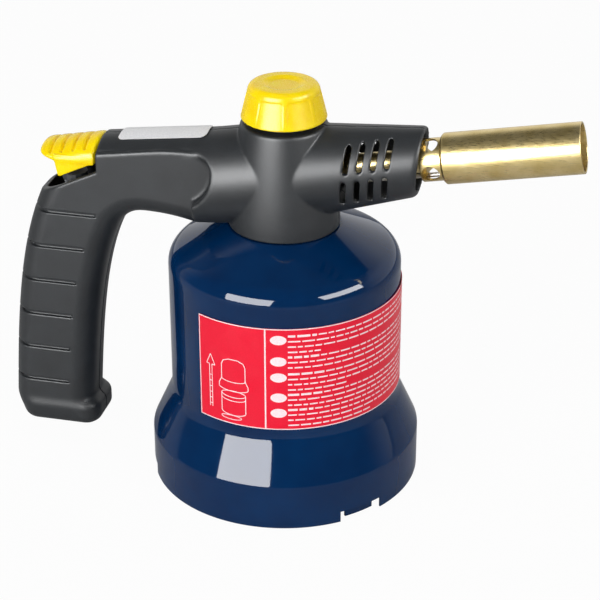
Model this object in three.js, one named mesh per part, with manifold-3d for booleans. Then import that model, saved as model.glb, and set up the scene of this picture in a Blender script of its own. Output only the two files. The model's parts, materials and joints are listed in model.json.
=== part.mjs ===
// Blow lamp that burns gas from a pierceable cartridge, in millimetres, +Z up, standing on the bell's rim.
// It is built about the upright axis of its head at X = Y = 0, with the burner towards +X and the grip
// towards -X, and the finished group is then centred over the origin.
import * as THREE from 'three';
import { mergeVertices } from 'three/addons/utils/BufferGeometryUtils.js';
import Module from 'manifold-3d';

// Fits shared by all pieces
const gap = 0.3; // clearance between two pieces that touch or run on each other
const overrun = 7; // how far a cutting solid runs past what it cuts
const roundSteps = 32; // facets round the large turned pieces
const insideSteps = 28; // facets round the large pieces that lie inside
const smallSteps = 16; // facets round the small turned pieces
const curveSteps = 5; // steps along a curved stretch of an outline

// Cup that holds the cartridge in the bell
const cupLift = 1.2;
const cupSheet = 1;
const cupWallHeight = 13;
const cupClearance = 0.6; // between the cup's wall and the cartridge
const unlockAngle = 25; // degrees of turn that free the cup

// Gas cartridge of the common pierceable size
const canRadius = 45;
const canHeight = 89.1;
const canSheet = 0.5;
const canShoulderDrop = 13.1; // from the flat top to the straight side
const canDomeRadius = 17;
const canDomeDrop = 2.2; // from the flat top to the dome's edge
const canTopRadius = 9;
const canFootInset = 3.5;
const piercedHoleRadius = 1.8;
const canBottom = cupLift + 2 * cupSheet + gap;
const canTop = canBottom + canHeight;

// Bell: the drawn steel housing round the cartridge
const bellSheet = 0.9;
const canClearance = 1.6; // between the cartridge and the neck
const neckRadius = canRadius + canClearance + bellSheet;
const flareReach = 8.5; // from the neck out to the skirt
const skirtRadius = neckRadius + flareReach;
const flangeClearance = 0.8; // between the cup's flange and the skirt
const cupFlangeRadius = skirtRadius - bellSheet - flangeClearance;
const skirtHeight = 19.6;
const flareHeight = 19; // from the top of the skirt to the straight neck
const crownRadius = 23.2; // flat seat of the head on top of the bell
const crownRise = 18.6; // from the cartridge to that seat
const crownLevel = canTop + crownRise;
const shoulderRadius = 8;
const shoulderDrop = 15.5; // from the seat to where the neck starts to turn in
const shoulderLevel = crownLevel - shoulderDrop;
const bellHoleRadius = 8;
const labelBottom = 41.9;
const labelHeight = 45.3;
const labelThickness = 0.3;
const labelStart = -31.2; // degrees from the near side towards the burner
const labelSweep = 150;

// Bayonet lugs pressed in from the bell's rim
const lugCount = 3;
const lugAngle = 47.6; // degrees of the first lug, measured as the label's start
const lugPitch = 17.4; // degrees between the two notches beside a lug
const notchWidth = 3;
const notchHeight = 4.9;
const lugDepth = 2;
const lugLift = 0.8;

// Burner axis and the pieces on it; distances run along the axis from the head's upright axis
const axisRise = 22; // from the bell's crown to where the burner's axis crosses the head's
const axisLevel = crownLevel + axisRise;
const burnerTilt = 10.3; // degrees
const burnerRadius = 10.1;
const burnerWall = 0.8;
const burnerStart = 65.2;
const burnerEnd = 119.7;
const burnerHeel = 5; // length of the thicker rear end
const burnerHeelWall = 1.3;
const collarRadius = 8.5;
const collarWall = 0.8;
const collarStart = 56.6;
const collarBack = 2;
const airHoleRadius = 3.65;
const airHoleCount = 4;
const airHolePlace = 60.6;
const airHoleTurn = 67; // degrees of the first hole above the near side
const gasTubeRadius = 4.8;
const gasTubeBore = 1.5;
const gasTubeStart = 17.3;
const spigotRadius = 3;
const spigotLength = 5;
const jetRadius = 2.6;
const jetLength = 3;
const jetBore = 0.5;
const holderPlace = 92;
const holderThickness = 2;
const holderBore = 4;
const holderHoleRadius = 1.15;
const holderHoleCount = 8;
const electrodeRadius = 0.5;
const electrodeOffset = 6.4; // below the burner's axis
const electrodeStart = 29;
const electrodeEnd = 99;
const ceramicRadius = 1;
const ceramicStart = 30.5;
const ceramicEnd = 66;

// Moulded body, made of two half shells that part on the plane Y = 0
const wall = 2.2;
const hubBaseRadius = 22.5;
const hubTopRadius = 17.3;
const hubHeight = 43.4; // from the bell's crown to the hub's top
const hubTopLevel = crownLevel + hubHeight;
const hubFootHeight = 3.4; // straight foot of the hub
const hubPlate = 2.2;
const hubBore = 8.5;
const hubNeckRadius = 12.5;
const hubNeckRise = 3.4;
const tubeRadius = 20;
const tubeStart = -38; // along the burner's axis
const tubeTaperStart = -1;
const shroudRadius = 14.2;
const shroudPlace = 51.8; // where the shroud has that radius
const rimPlace = 57; // the shroud's open end, at the axis
const rimLean = 4.5; // degrees by which the open end and the slots lean forward
const slotCount = 4;
const slotStart = 28.2;
const slotPitch = 5.35;
const slotWidth = 2.2;
const slotLength = 10.2;
const upperSlotRise = 7.7;
const lowerSlotDrop = 5.6;

// Handle: flat sides, a curved grip, and a rounded spine on top
const handleThickness = 26;
const edgeRound = 9; // how far the grip's rounding reaches in from its edge
const edgeRoundDepth = 10; // how deep the same rounding is across the thickness
const gripWidth = 35.2;
const gripBottom = 10.5;
const gripFootX = -102; // the middle of the grip at its foot
const gripHeadX = -85.5; // the middle of the grip where the arch starts
const gripHeadDrop = 22.2; // below the burner's axis at the head
const gripHeadLevel = axisLevel - gripHeadDrop;
const gripLowBowX = -99.5;
const gripLowBowLevel = 45;
const gripHighBowX = -97.5;
const gripHighBowDrop = 26; // below the grip's head
const gripHighBowLevel = gripHeadLevel - gripHighBowDrop;
const heelRound = 11.5; // corner at the back of the grip's foot
const archRise = 1.2; // highest of the arch's underside, above the bell's crown
const archTop = crownLevel + archRise;
const archPeakX = -57;
const archBendX = -46;
const archHeelX = -35.5; // lowest of the arch's underside, beside the tube
const archHeelDrop = 1.6; // below the bell's crown
const archEndX = -10; // hidden in the hub
const toeReach = 4; // past the grip's front
const toeHeight = 10.8;
const toeCorner = 8; // seen from above
const toeRound = 3.4;
const toeLength = 34.6;
const grooveCount = 6;
const grooveStart = 31.5;
const groovePitch = 15.9;
const grooveWidth = 1;
const grooveDepth = 1;
const grooveMargin = 9.3; // from a groove's end to the grip's front edge
const frontWallX = -75; // front wall of the trigger's opening
const lipDrop = 2.7; // from the burner's axis at the head to the opening's edge at that wall
const lipLevel = axisLevel - lipDrop;
const lipSlope = 25; // degrees
const ledgeRise = 5.2; // top of the flat sides at the same wall, above the lip's reference
const ledgeLevel = axisLevel + ledgeRise;
const ledgeSlope = 6.3; // degrees
const ledgeWidth = 2.4;
const ledgeChamfer = 0.8; // along the ledge's outer edge
const spineRadius = 19;
const spineRise = 4.4; // top of the spine at the same wall, above the ledge
const spineLevel = ledgeLevel + spineRise;
const spineSlope = 6.8; // degrees
const spineLabelStart = 7.6; // from the front wall
const spineLabelLength = 36.8;
const spineLabelWidth = 13;
const panelTipX = -24; // rounded end of the handle's flat side
const panelTipRise = 3.4; // above the burner's axis at the head
const panelTipLevel = axisLevel + panelTipRise;
const panelHeelX = -35;
const panelHeelRise = 8.3; // above the bell's crown
const panelHeelLevel = crownLevel + panelHeelRise;
const panelTopX = -37;
const tubeCrestX = -30; // top of the tube's slanted end
const tubeFloorRise = 2.4; // from the bell's crown to the tube's flat underside

// Screws and their bosses: two on the grip's middle line and three along the body
const lowScrewShare = 0.15;
const middleScrewShare = 0.52;
const archScrewReach = 11.5; // from the trigger's front wall
const archScrewRise = 15.1; // from the top of the arch
const hubScrewReach = 24.5; // from the head's upright axis
const hubScrewRise = 8.3; // from the bell's crown
const shroudScrewReach = 22.2;
const shroudScrewDrop = 13.6; // from the burner's axis
const bossRadius = 3.8;
const screwHeadRadius = 2.8;
const screwHeadHeight = 2.2;
const screwShankRadius = 1.3;
const screwReach = 8; // from the parting plane to the head's seat, and to the tip

// Trigger
const triggerPress = 2.8; // travel
const triggerThickness = 24;
const pressRest = 0.4; // left between the stem and the opening's edge at the end of the travel
const stemGap = triggerPress + pressRest;
const stemBackX = -91;
const padDrop = 0.2; // below the spine
const padFrontLevel = spineLevel - padDrop;
const padSlope = 14.4; // degrees
const padBackX = -101;
const padDepth = 9.6; // from the pad's front down to its underside
const padRound = 3;
const padCorner = 4.5; // of the pad's back, seen from above
const padSweep = 1.1; // how far the pad's front bows, each way
const padCrownRadius = 18;
const padEdge = 1.5; // rounding of the pad's rim
const ribStart = 5.5; // from the pad's front
const ribCount = 4;
const ribPitch = 4.9;
const ribWidth = 1.1;
const ribDepth = 0.8;
const tongueThickness = 3;
const tongueDrop = 8;
const tongueWidth = 9;

// Piezo igniter under the trigger
const piezoX = -88.5;
const piezoRadius = 5.8;
const piezoDrop = 14.5; // from the lip to the igniter's top
const piezoTop = lipLevel - piezoDrop;
const piezoHeight = 32;
const piezoBottom = piezoTop - piezoHeight;
const piezoBore = 3.6;
const piezoBoreDepth = 16.5;
const plungerRadius = 3.2;
const plungerLength = 19; // below its cap
const plungerCapRadius = 5.2;
const springLength = 5.4;
const springWire = 0.35; // radius of the wire
const springRadius = 4.5;
const springTurns = 3;
const ribPlate = 2.2; // plates that carry the igniter
const guideDrop = 12; // from the igniter's top to the underside of the plate that guides it
const guideLevel = piezoTop - guideDrop;
// Bends of the two leads that lie in the moulded halves, as [x, y, distance below the burner's axis]
const leadOutDrop = 45.2; // to where the ignition lead leaves the igniter
const ignitionBends = [
  [-80.4, -0.2, 44.8], [-78.6, -1.8, 40.7], [-76, -4, 31.2], [-70.5, -5, 21.2], [-60, -5, 14.8],
  [-42, -6, 12.7], [-24, -9.5, 6.2], [-9, -12, 3.7], [6, -11.5, 2.7], [18, -5, 2.2], [24, -0.8, 1.9],
];
const earthOutDrop = 39.7; // to where the earth lead leaves the igniter
const earthBends = [
  [-80.4, 0.2, 39.3], [-78.4, 2, 35.7], [-75.5, 4.5, 28.7], [-69.5, 5, 19.7], [-60, 5, 14.8],
  [-42, 6, 13.7], [-26, 7.5, 6.7], [-17, 4, 7.2], [-12, 0.6, 8.6],
];
const earthTagDrop = 8.7; // to where the earth lead meets the valve
const wireRadius = 1;
const wireClearance = 0.8;
const wireSteps = 26;

// Gas valve inside the hub
const valveRadius = 8.2;
const sealThickness = 2.4;
const valveBottom = canTop + gap + sealThickness + gap;
const valveTopDrop = 8; // from the hub's top
const valveTop = hubTopLevel - valveTopDrop;
const valveNeckRadius = 7.6;
const valveFlangeRadius = 14;
const valveFlangeHeight = 3;
const valveShoulderRadius = 10.9; // fits the hole in the hub's floor
const outletRadius = 6;
const outletLength = 17;
const seatRadius = 1.2;
const seatDrop = 5.2; // from the burner's axis to the valve's seat
const seatLevel = axisLevel - seatDrop;
const chamberRadius = 2.4;
const chamberHeight = 7.7;
const chamberTop = seatLevel + chamberHeight;
const spindleRadius = 3;
const spindleBore = 1.9;
const spindleBoreDepth = 9.5;
const glandPocketRadius = 5.6;
const glandPocketDepth = 6;
const glandRingHeight = 2;
const glandHeadRadius = 7;
const glandHeadHeight = 4;
const needleRadius = 1.6;
const needleConeRadius = 1.9;
const needleTipRadius = 0.3;
const needleConeHeight = 2.6;
const needleLength = 15.5;
const piercerRadius = 1.4;
const piercerLength = 16;
const piercerPoint = 4;
const piercerReach = 7.5; // how far its tip goes below the valve
const sealRadius = 8;
const sealBore = 3;
const nutRadius = 13.5;
const nutHeight = 6;

// Regulator knob
const knobLift = 2.1; // above the hub
const knobLevel = hubTopLevel + knobLift;
const knobHeight = 14.9;
const knobBaseRadius = 17.1;
const knobTopRadius = 14.85;
const knobRound = 2.8;
const knobWall = 2.2;
const knobBossRadius = 5.6;
const knobDishRadius = 8;
const knobDishDepth = 0.9;
const fluteCount = 8;
const fluteDepth = 0.7;
const ridgeWidth = 2;
const fluteTop = 3; // from the knob's top down to the flutes

const upright = Math.PI / 2;
const fullTurn = Math.PI * 2;
const radians = THREE.MathUtils.degToRad;

const wasm = await Module();
wasm.setup();

// Finishes
const finishes = {
  plastic: { color: 0x3e4143, roughness: 0.5, metalness: 0 },
  yellow: { color: 0xfddc05, roughness: 0.35, metalness: 0 },
  paint: { color: 0x0a2a56, roughness: 0.12, metalness: 0 },
  brass: { color: 0xcfb26a, roughness: 0.22, metalness: 1 },
  steel: { color: 0xb4b6b8, roughness: 0.35, metalness: 1 },
  redSticker: { color: 0xe8123c, roughness: 0.3, metalness: 0 },
  silverSticker: { color: 0xdcdcdc, roughness: 0.4, metalness: 0 },
  rubber: { color: 0x1c1c1c, roughness: 0.8, metalness: 0 },
  ceramic: { color: 0xf0ece2, roughness: 0.4, metalness: 0 },
  canBlue: { color: 0x2a62a8, roughness: 0.25, metalness: 0 },
  housing: { color: 0x20262b, roughness: 0.5, metalness: 0 },
  wire: { color: 0x26282b, roughness: 0.5, metalness: 0 },
  earth: { color: 0x2f7a3c, roughness: 0.5, metalness: 0 },
};

const group = new THREE.Group();

// Turn a closed geometry into a solid that can be joined and cut
function solid(geometry) {
  const bare = geometry.clone();
  bare.deleteAttribute('normal');
  bare.deleteAttribute('uv');
  const merged = mergeVertices(bare);
  const position = merged.getAttribute('position').array;
  const index = merged.getIndex().array;
  const kept = [];
  for (let i = 0; i < index.length; i += 3) {
    const [a, b, c] = [index[i], index[i + 1], index[i + 2]];
    if (a !== b && b !== c && c !== a) kept.push(a, b, c);
  }
  return new wasm.Manifold(new wasm.Mesh({
    numProp: 3,
    vertProperties: new Float32Array(position),
    triVerts: new Uint32Array(kept),
  }));
}

// Join any number of solids
function join(...solids) {
  return solids.reduce((whole, next) => whole.add(next));
}

// Cut any number of solids out of the first
function cut(whole, ...tools) {
  return tools.reduce((left, tool) => left.subtract(tool), whole);
}

// Turn a solid back into a geometry
function geometryOf(body) {
  const mesh = body.getMesh();
  const geometry = new THREE.BufferGeometry();
  const stride = mesh.numProp;
  const points = new Float32Array(mesh.vertProperties.length / stride * 3);
  for (let i = 0; i < points.length / 3; i += 1) {
    points.set(mesh.vertProperties.subarray(i * stride, i * stride + 3), i * 3);
  }
  geometry.setAttribute('position', new THREE.BufferAttribute(points, 3));
  geometry.setIndex(new THREE.BufferAttribute(new Uint32Array(mesh.triVerts), 1));
  return geometry;
}

// Add one named piece to the lamp
function add(name, body, finish) {
  const geometry = geometryOf(body);
  geometry.computeVertexNormals();
  const mesh = new THREE.Mesh(geometry, new THREE.MeshStandardMaterial(finishes[finish]));
  mesh.name = name;
  group.add(mesh);
}

// A turned solid about the Z axis from [radius, height] pairs that run up the outside
function turned(profile, steps = smallSteps) {
  const points = profile.map(([radius, height]) => new THREE.Vector2(radius, height));
  const geometry = new THREE.LatheGeometry(points, steps);
  geometry.rotateX(upright);
  return geometry;
}

// A plain round bar between two heights on the Z axis
function bar(radius, bottom, top, steps = smallSteps) {
  return turned([[0, bottom], [radius, bottom], [radius, top], [0, top]], steps);
}

// A round sleeve between two heights on the Z axis
function sleeve(radius, bore, bottom, top, steps = smallSteps) {
  return turned([[bore, bottom], [radius, bottom], [radius, top], [bore, top], [bore, bottom]], steps);
}

// A box by its middle and its lengths
function block(x, y, z, lengthX, lengthY, lengthZ) {
  const geometry = new THREE.BoxGeometry(lengthX, lengthY, lengthZ);
  geometry.translate(x, y, z);
  return geometry;
}

// An outline in the X-Z plane, extruded across Y and centred on the parting plane
function slab(shape, thickness, round = 0, roundDepth = 0) {
  const geometry = new THREE.ExtrudeGeometry(shape, {
    depth: thickness - 2 * roundDepth,
    bevelEnabled: round > 0,
    bevelSize: round,
    bevelOffset: -round,
    bevelThickness: roundDepth,
    bevelSegments: 3,
    curveSegments: curveSteps,
  });
  geometry.translate(0, 0, roundDepth - thickness / 2);
  geometry.rotateX(upright);
  return geometry;
}

// A closed outline through straight corners
function polygon(corners) {
  return new THREE.Shape(corners.map(([x, y]) => new THREE.Vector2(x, y)));
}

// Lay a solid that was built on the Z axis along the burner's axis, with its own +X side down
function alongBurner(geometry) {
  geometry.rotateY(upright - radians(burnerTilt));
  geometry.translate(0, 0, axisLevel);
  return geometry;
}

// A point at a distance along the burner's axis and at an offset below it
function onBurner(along, offset) {
  const tilt = radians(burnerTilt);
  const x = along * Math.cos(tilt) + offset * Math.sin(tilt);
  return new THREE.Vector3(x, 0, axisLevel + along * Math.sin(tilt) - offset * Math.cos(tilt));
}

// Height of the burner's axis at a place X
function axisAt(x) {
  return axisLevel + x * Math.tan(radians(burnerTilt));
}

// Turn a geometry about the Z axis to an angle measured from the near side towards the burner
function roundHead(geometry, degrees) {
  geometry.rotateZ(radians(degrees));
  return geometry;
}

// Bell

// Points of the bell's outer surface, or of its inner surface when inset by the sheet
function bellSurface(inset) {
  const points = [[skirtRadius - inset, skirtHeight]];
  for (let i = 1; i <= curveSteps; i += 1) {
    const share = i / curveSteps;
    const ease = share * share * (3 - 2 * share);
    points.push([
      skirtRadius - inset + (neckRadius - skirtRadius) * ease,
      skirtHeight + flareHeight * share,
    ]);
  }
  const run = neckRadius - shoulderRadius - crownRadius;
  const rise = crownLevel - shoulderLevel;
  const reach = Math.hypot(run, rise);
  const turn = Math.PI - Math.atan2(rise, run) - Math.acos(shoulderRadius / reach);
  for (let i = 0; i <= curveSteps; i += 1) {
    const angle = turn * i / curveSteps;
    points.push([
      neckRadius - shoulderRadius + (shoulderRadius - inset) * Math.cos(angle),
      shoulderLevel + (shoulderRadius - inset) * Math.sin(angle),
    ]);
  }
  points.push([crownRadius, crownLevel - inset]);
  return points;
}

// The wedge of the skirt that one lug takes up
function lugWedge() {
  const width = 2 * skirtRadius * Math.sin(radians(lugPitch / 2)) + notchWidth;
  return width;
}

function makeBell() {
  const outer = [[0, 0], [skirtRadius, 0], ...bellSurface(0), [0, crownLevel]];
  const inner = [
    [0, -overrun],
    [skirtRadius - bellSheet, -overrun],
    ...bellSurface(bellSheet),
    [0, crownLevel - bellSheet],
  ];
  let bell = cut(
    solid(turned(outer, roundSteps)),
    solid(turned(inner, roundSteps)),
    solid(bar(bellHoleRadius, crownLevel - overrun, crownLevel + overrun)),
  );
  const inside = skirtRadius - bellSheet;
  const tab = solid(sleeve(skirtRadius - lugDepth, inside - lugDepth, lugLift, notchHeight, roundSteps));
  const bridge = solid(sleeve(
    inside + bellSheet / 2,
    inside - lugDepth,
    notchHeight - bellSheet,
    notchHeight + bellSheet / 2,
    roundSteps,
  ));
  const window = lugWedge();
  const tabWidth = window - 2 * notchWidth;
  for (let i = 0; i < lugCount; i += 1) {
    const angle = lugAngle + 360 * i / lugCount;
    const opening = block(0, -skirtRadius, 0, window, 2 * overrun, 2 * notchHeight);
    const share = block(0, -skirtRadius, 0, tabWidth, 2 * overrun, 2 * overrun + notchHeight);
    const lug = join(tab, bridge).intersect(solid(roundHead(share, angle)));
    bell = join(cut(bell, solid(roundHead(opening, angle))), lug);
  }
  add('bell', bell, 'paint');
}

// A curved sticker: part of a thin sleeve between two angles of the XY plane
function stickerShape(radius, start, sweep) {
  const shape = new THREE.Shape();
  shape.absarc(0, 0, radius + labelThickness, start, start + sweep, false);
  shape.absarc(0, 0, radius, start + sweep, start, true);
  shape.closePath();
  return shape;
}

function makeBellLabel() {
  const shape = stickerShape(neckRadius + gap, radians(labelStart) - upright, radians(labelSweep));
  const geometry = new THREE.ExtrudeGeometry(shape, {
    depth: labelHeight,
    bevelEnabled: false,
    curveSegments: roundSteps / 2,
  });
  geometry.translate(0, 0, labelBottom);
  add('bell_label', solid(geometry), 'redSticker');
}

// Cup and cartridge

function makeCup() {
  const bore = canRadius + cupClearance;
  const outside = bore + cupSheet;
  const floor = cupLift + cupSheet;
  const flangeBottom = notchHeight + bellSheet / 2 + gap;
  const dish = turned([
    [0, cupLift + cupSheet], [bore - canFootInset * 2, cupLift + cupSheet], [bore - canFootInset, cupLift],
    [outside, cupLift], [outside, cupLift + cupWallHeight], [bore, cupLift + cupWallHeight],
    [bore, floor], [bore - canFootInset, floor], [bore - canFootInset * 2, floor + cupSheet],
    [0, floor + cupSheet],
  ], insideSteps);
  const flangeTop = flangeBottom + cupSheet;
  const flange = sleeve(cupFlangeRadius, bore + cupSheet / 2, flangeBottom, flangeTop, insideSteps);
  let cup = join(solid(dish), solid(flange));
  for (let i = 0; i < lugCount; i += 1) {
    const angle = lugAngle + unlockAngle + 360 * i / lugCount;
    const middle = -(cupFlangeRadius + outside + cupClearance) / 2;
    const depth = cupFlangeRadius - outside - cupClearance;
    const pass = block(0, middle - overrun / 2, flangeBottom, lugWedge(), depth + overrun, overrun);
    cup = cut(cup, solid(roundHead(pass, angle)));
  }
  add('cartridge_cup', cup, 'steel');
}

function makeCartridge() {
  const bottom = canBottom;
  const top = canTop;
  const foot = canRadius - canFootInset;
  const shoulder = top - canShoulderDrop;
  // The same points drawn at the outside, and again one sheet further in
  const skin = (inset) => [
    [foot, bottom + inset], [canRadius - inset, bottom + canFootInset], [canRadius - inset, shoulder],
    [canRadius - canFootInset - inset, shoulder + canFootInset * 2 - inset],
    [canDomeRadius, top - canDomeDrop - inset],
    [canTopRadius, top - inset],
    [piercedHoleRadius, top - inset],
  ];
  const profile = [
    [0, bottom + canFootInset], [foot - canFootInset, bottom + canFootInset], ...skin(0),
    ...skin(canSheet).reverse(),
    [foot - canFootInset + canSheet, bottom + canFootInset + canSheet],
    [0, bottom + canFootInset + canSheet],
  ];
  add('gas_cartridge', solid(turned(profile, insideSteps)), 'canBlue');
}

// Body shells

// Middle line of the grip from its foot to where the arch starts
const gripLine = new THREE.CubicBezierCurve(
  new THREE.Vector2(gripFootX, gripBottom),
  new THREE.Vector2(gripLowBowX, gripLowBowLevel),
  new THREE.Vector2(gripHighBowX, gripHighBowLevel),
  new THREE.Vector2(gripHeadX, gripHeadLevel),
);

// A point beside the grip's middle line: share runs from foot to head, side is towards the bell
function besideGrip(share, side) {
  const point = gripLine.getPoint(share);
  const along = gripLine.getTangent(Math.min(share, 1));
  return new THREE.Vector2(point.x + along.y * side, point.y - along.x * side);
}

// Where the grip's edge stands at a height: side is towards the bell
function gripEdgeAt(level, side) {
  let share = 0;
  while (besideGrip(share, side).y < level) share += 1 / roundSteps;
  return besideGrip(share, side).x;
}

// Outline of grip and arch, inset by a wall for the hollow; it runs on past the opening's edge and the
// ledge, which are cut afterwards
function gripOutline(inset) {
  const half = gripWidth / 2 - inset;
  const floor = gripBottom + inset;
  const heel = heelRound - inset;
  const ceiling = axisLevel + tubeRadius;
  const archEnd = crownLevel + gap + inset;
  const along = gripLine.getTangent(1);
  const backHead = besideGrip(1, -half);
  const frontHead = besideGrip(1, half);
  const shape = new THREE.Shape();
  shape.moveTo(archEndX, ceiling);
  shape.lineTo(backHead.x + along.x * (ceiling - backHead.y) / along.y, ceiling);
  const steps = 2 * curveSteps;
  for (let i = steps; i > 0; i -= 1) {
    const point = besideGrip(i / steps, -half);
    if (point.y > floor + heel + overrun) shape.lineTo(point.x, point.y);
  }
  const backFoot = gripEdgeAt(floor + heel, -half);
  shape.lineTo(backFoot, floor + heel);
  shape.absarc(backFoot + heel, floor + heel, heel, Math.PI, 3 * upright, false);
  shape.lineTo(besideGrip(0, half).x, floor);
  for (let i = 1; i <= steps; i += 1) {
    const point = besideGrip(i / steps, half);
    if (point.y > floor + heel) shape.lineTo(point.x, point.y);
  }
  const bend = frontHead.x + along.x * (archTop + inset - frontHead.y) / along.y;
  shape.quadraticCurveTo(bend, archTop + inset, archPeakX, archTop + inset);
  shape.quadraticCurveTo(archBendX, archTop + inset, archHeelX, crownLevel - archHeelDrop + inset);
  shape.lineTo(-crownRadius - 2 * gap, archEnd);
  shape.lineTo(archEndX, archEnd);
  return shape;
}

// Everything of the handle that lies under the ledge
function underLedge(inset) {
  const half = handleThickness / 2 + overrun;
  const drop = ledgeChamfer + overrun;
  const deep = axisLevel;
  const shape = polygon([
    [-half, -deep], [half, -deep], [half, -drop - inset], [half - drop, -inset], [drop - half, -inset],
    [-half, -drop - inset],
  ]);
  const length = 2 * axisLevel;
  const geometry = new THREE.ExtrudeGeometry(shape, { depth: length, bevelEnabled: false });
  geometry.translate(0, 0, -length / 2);
  geometry.rotateX(upright);
  geometry.rotateZ(upright);
  geometry.rotateY(-radians(ledgeSlope));
  geometry.translate(frontWallX, 0, ledgeLevel);
  return geometry;
}

function gripSolid(inset) {
  const round = edgeRound - inset / 2;
  const depth = edgeRoundDepth - inset / 2;
  const whole = solid(slab(gripOutline(inset), handleThickness - 2 * inset, round, depth));
  return whole.intersect(solid(underLedge(inset)));
}

// The toe that swells out at the bottom of the grip, drawn from above
function toeSolid() {
  const front = besideGrip(0, gripWidth / 2).x + toeReach;
  const back = front - toeLength;
  const half = handleThickness / 2;
  const shape = new THREE.Shape();
  shape.moveTo(back, toeCorner - half);
  shape.quadraticCurveTo(back, -half, back + toeCorner, -half);
  shape.lineTo(front - toeCorner, -half);
  shape.quadraticCurveTo(front, -half, front, toeCorner - half);
  shape.lineTo(front, half - toeCorner);
  shape.quadraticCurveTo(front, half, front - toeCorner, half);
  shape.lineTo(back + toeCorner, half);
  shape.quadraticCurveTo(back, half, back, half - toeCorner);
  const geometry = new THREE.ExtrudeGeometry(shape, {
    depth: toeHeight - 2 * toeRound,
    bevelSize: toeRound,
    bevelOffset: -toeRound,
    bevelThickness: toeRound,
    bevelSegments: 3,
    curveSegments: curveSteps,
  });
  geometry.translate(0, 0, gripBottom + toeRound);
  return solid(geometry);
}

// The rounded spine on top of the handle
function spineSolid(inset) {
  const length = panelTipX - frontWallX;
  const rod = bar(spineRadius - inset, 0, length, roundSteps);
  rod.rotateY(upright - radians(spineSlope));
  rod.translate(frontWallX, 0, spineLevel - spineRadius / Math.cos(radians(spineSlope)));
  const width = handleThickness - 2 * ledgeWidth - 2 * inset;
  const keep = block(frontWallX + length / 2, 0, spineLevel, length, width, 2 * spineRadius);
  return solid(rod).intersect(solid(keep));
}

// Half angle that tapers the shroud
const taper = (tubeRadius - shroudRadius) / (shroudPlace - tubeTaperStart);

// What lies to the left of the tube's slanted end, above the ledge
function beyondTubeEnd(inset) {
  const ledge = ledgeLevel + (panelTopX - frontWallX) * Math.tan(radians(ledgeSlope));
  const crest = axisAt(tubeCrestX) + tubeRadius / Math.cos(radians(burnerTilt));
  const rise = (crest - ledge) / (tubeCrestX - panelTopX);
  const reach = tubeRadius;
  const shape = polygon([
    [panelTopX + inset, ledge], [tubeCrestX + reach + inset, crest + reach * rise],
    [panelTopX - reach, crest + reach * rise], [panelTopX - reach, ledge],
  ]);
  return solid(slab(shape, 2 * tubeRadius + overrun));
}

// The flat panel of one side of the handle, whose rounded end runs into the tube
function sidePanel(inset, side) {
  const ledge = ledgeLevel + (panelTopX - frontWallX) * Math.tan(radians(ledgeSlope));
  const left = panelTopX - tubeRadius;
  const bottom = crownLevel - overrun;
  const shape = new THREE.Shape();
  shape.moveTo(left, bottom);
  shape.lineTo(panelHeelX + inset, bottom);
  shape.lineTo(panelHeelX + inset, panelHeelLevel);
  shape.quadraticCurveTo(panelTipX + inset, axisAt(panelHeelX), panelTipX + inset, panelTipLevel);
  shape.quadraticCurveTo(panelTipX + inset, ledge, panelTopX + inset, ledge);
  shape.lineTo(left, ledge);
  const cutter = slab(shape, tubeRadius);
  cutter.translate(0, side * (handleThickness / 2 - inset + tubeRadius / 2), 0);
  return solid(cutter);
}

// The tube and the shroud, turned about the burner's axis
function tubeSolid(inset) {
  const end = rimPlace + 2 * overrun;
  const endRadius = tubeRadius - (end - tubeTaperStart) * taper;
  const rod = alongBurner(turned([
    [0, tubeStart], [tubeRadius - inset, tubeStart], [tubeRadius - inset, tubeTaperStart],
    [endRadius - inset, end], [0, end],
  ], roundSteps));
  const floor = crownLevel + tubeFloorRise + inset;
  const under = block(0, 0, floor - tubeRadius, 2 * axisLevel, 2 * axisLevel, 2 * tubeRadius);
  return cut(solid(rod), solid(under), beyondTubeEnd(inset), sidePanel(inset, -1), sidePanel(inset, 1));
}

// Radius of the hub at a height
function hubRadiusAt(level) {
  const foot = crownLevel + gap + hubFootHeight;
  const share = Math.max(0, (level - foot) / (hubTopLevel - foot));
  return hubBaseRadius - (hubBaseRadius - hubTopRadius) * share * share;
}

function hubSolid(inset) {
  const bottom = crownLevel + gap + inset;
  const top = hubTopLevel - inset;
  const profile = [[0, bottom], [hubBaseRadius - inset, bottom]];
  for (let i = 1; i <= curveSteps; i += 1) {
    const level = bottom + hubFootHeight + (top - bottom - hubFootHeight) * i / curveSteps;
    profile.push([hubRadiusAt(level) - inset, level]);
  }
  profile.push([0, top]);
  return solid(turned(profile, roundSteps));
}

// The opening for the trigger: all of the handle above the lip and behind the front wall
function triggerOpening() {
  const reach = gripWidth + 2 * overrun;
  const ceiling = axisLevel + 2 * tubeRadius;
  const shape = polygon([
    [frontWallX, lipLevel], [frontWallX, ceiling], [frontWallX - reach, ceiling],
    [frontWallX - reach, lipLevel - reach * Math.tan(radians(lipSlope))],
  ]);
  return solid(slab(shape, handleThickness + 2 * overrun));
}

// One slot through both sides of the shroud, round at its ends
function slotSolid(x, middle) {
  const half = slotLength / 2 - slotWidth / 2;
  const shape = new THREE.Shape();
  shape.absarc(0, half, slotWidth / 2, 0, Math.PI, false);
  shape.absarc(0, -half, slotWidth / 2, Math.PI, fullTurn, false);
  shape.closePath();
  const geometry = new THREE.ExtrudeGeometry(shape, {
    depth: 2 * tubeRadius + 2 * overrun,
    bevelEnabled: false,
    curveSegments: 5,
  });
  geometry.translate(0, 0, -tubeRadius - overrun);
  geometry.rotateX(upright);
  geometry.rotateY(radians(rimLean));
  geometry.translate(x, 0, middle);
  return solid(geometry);
}

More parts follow.
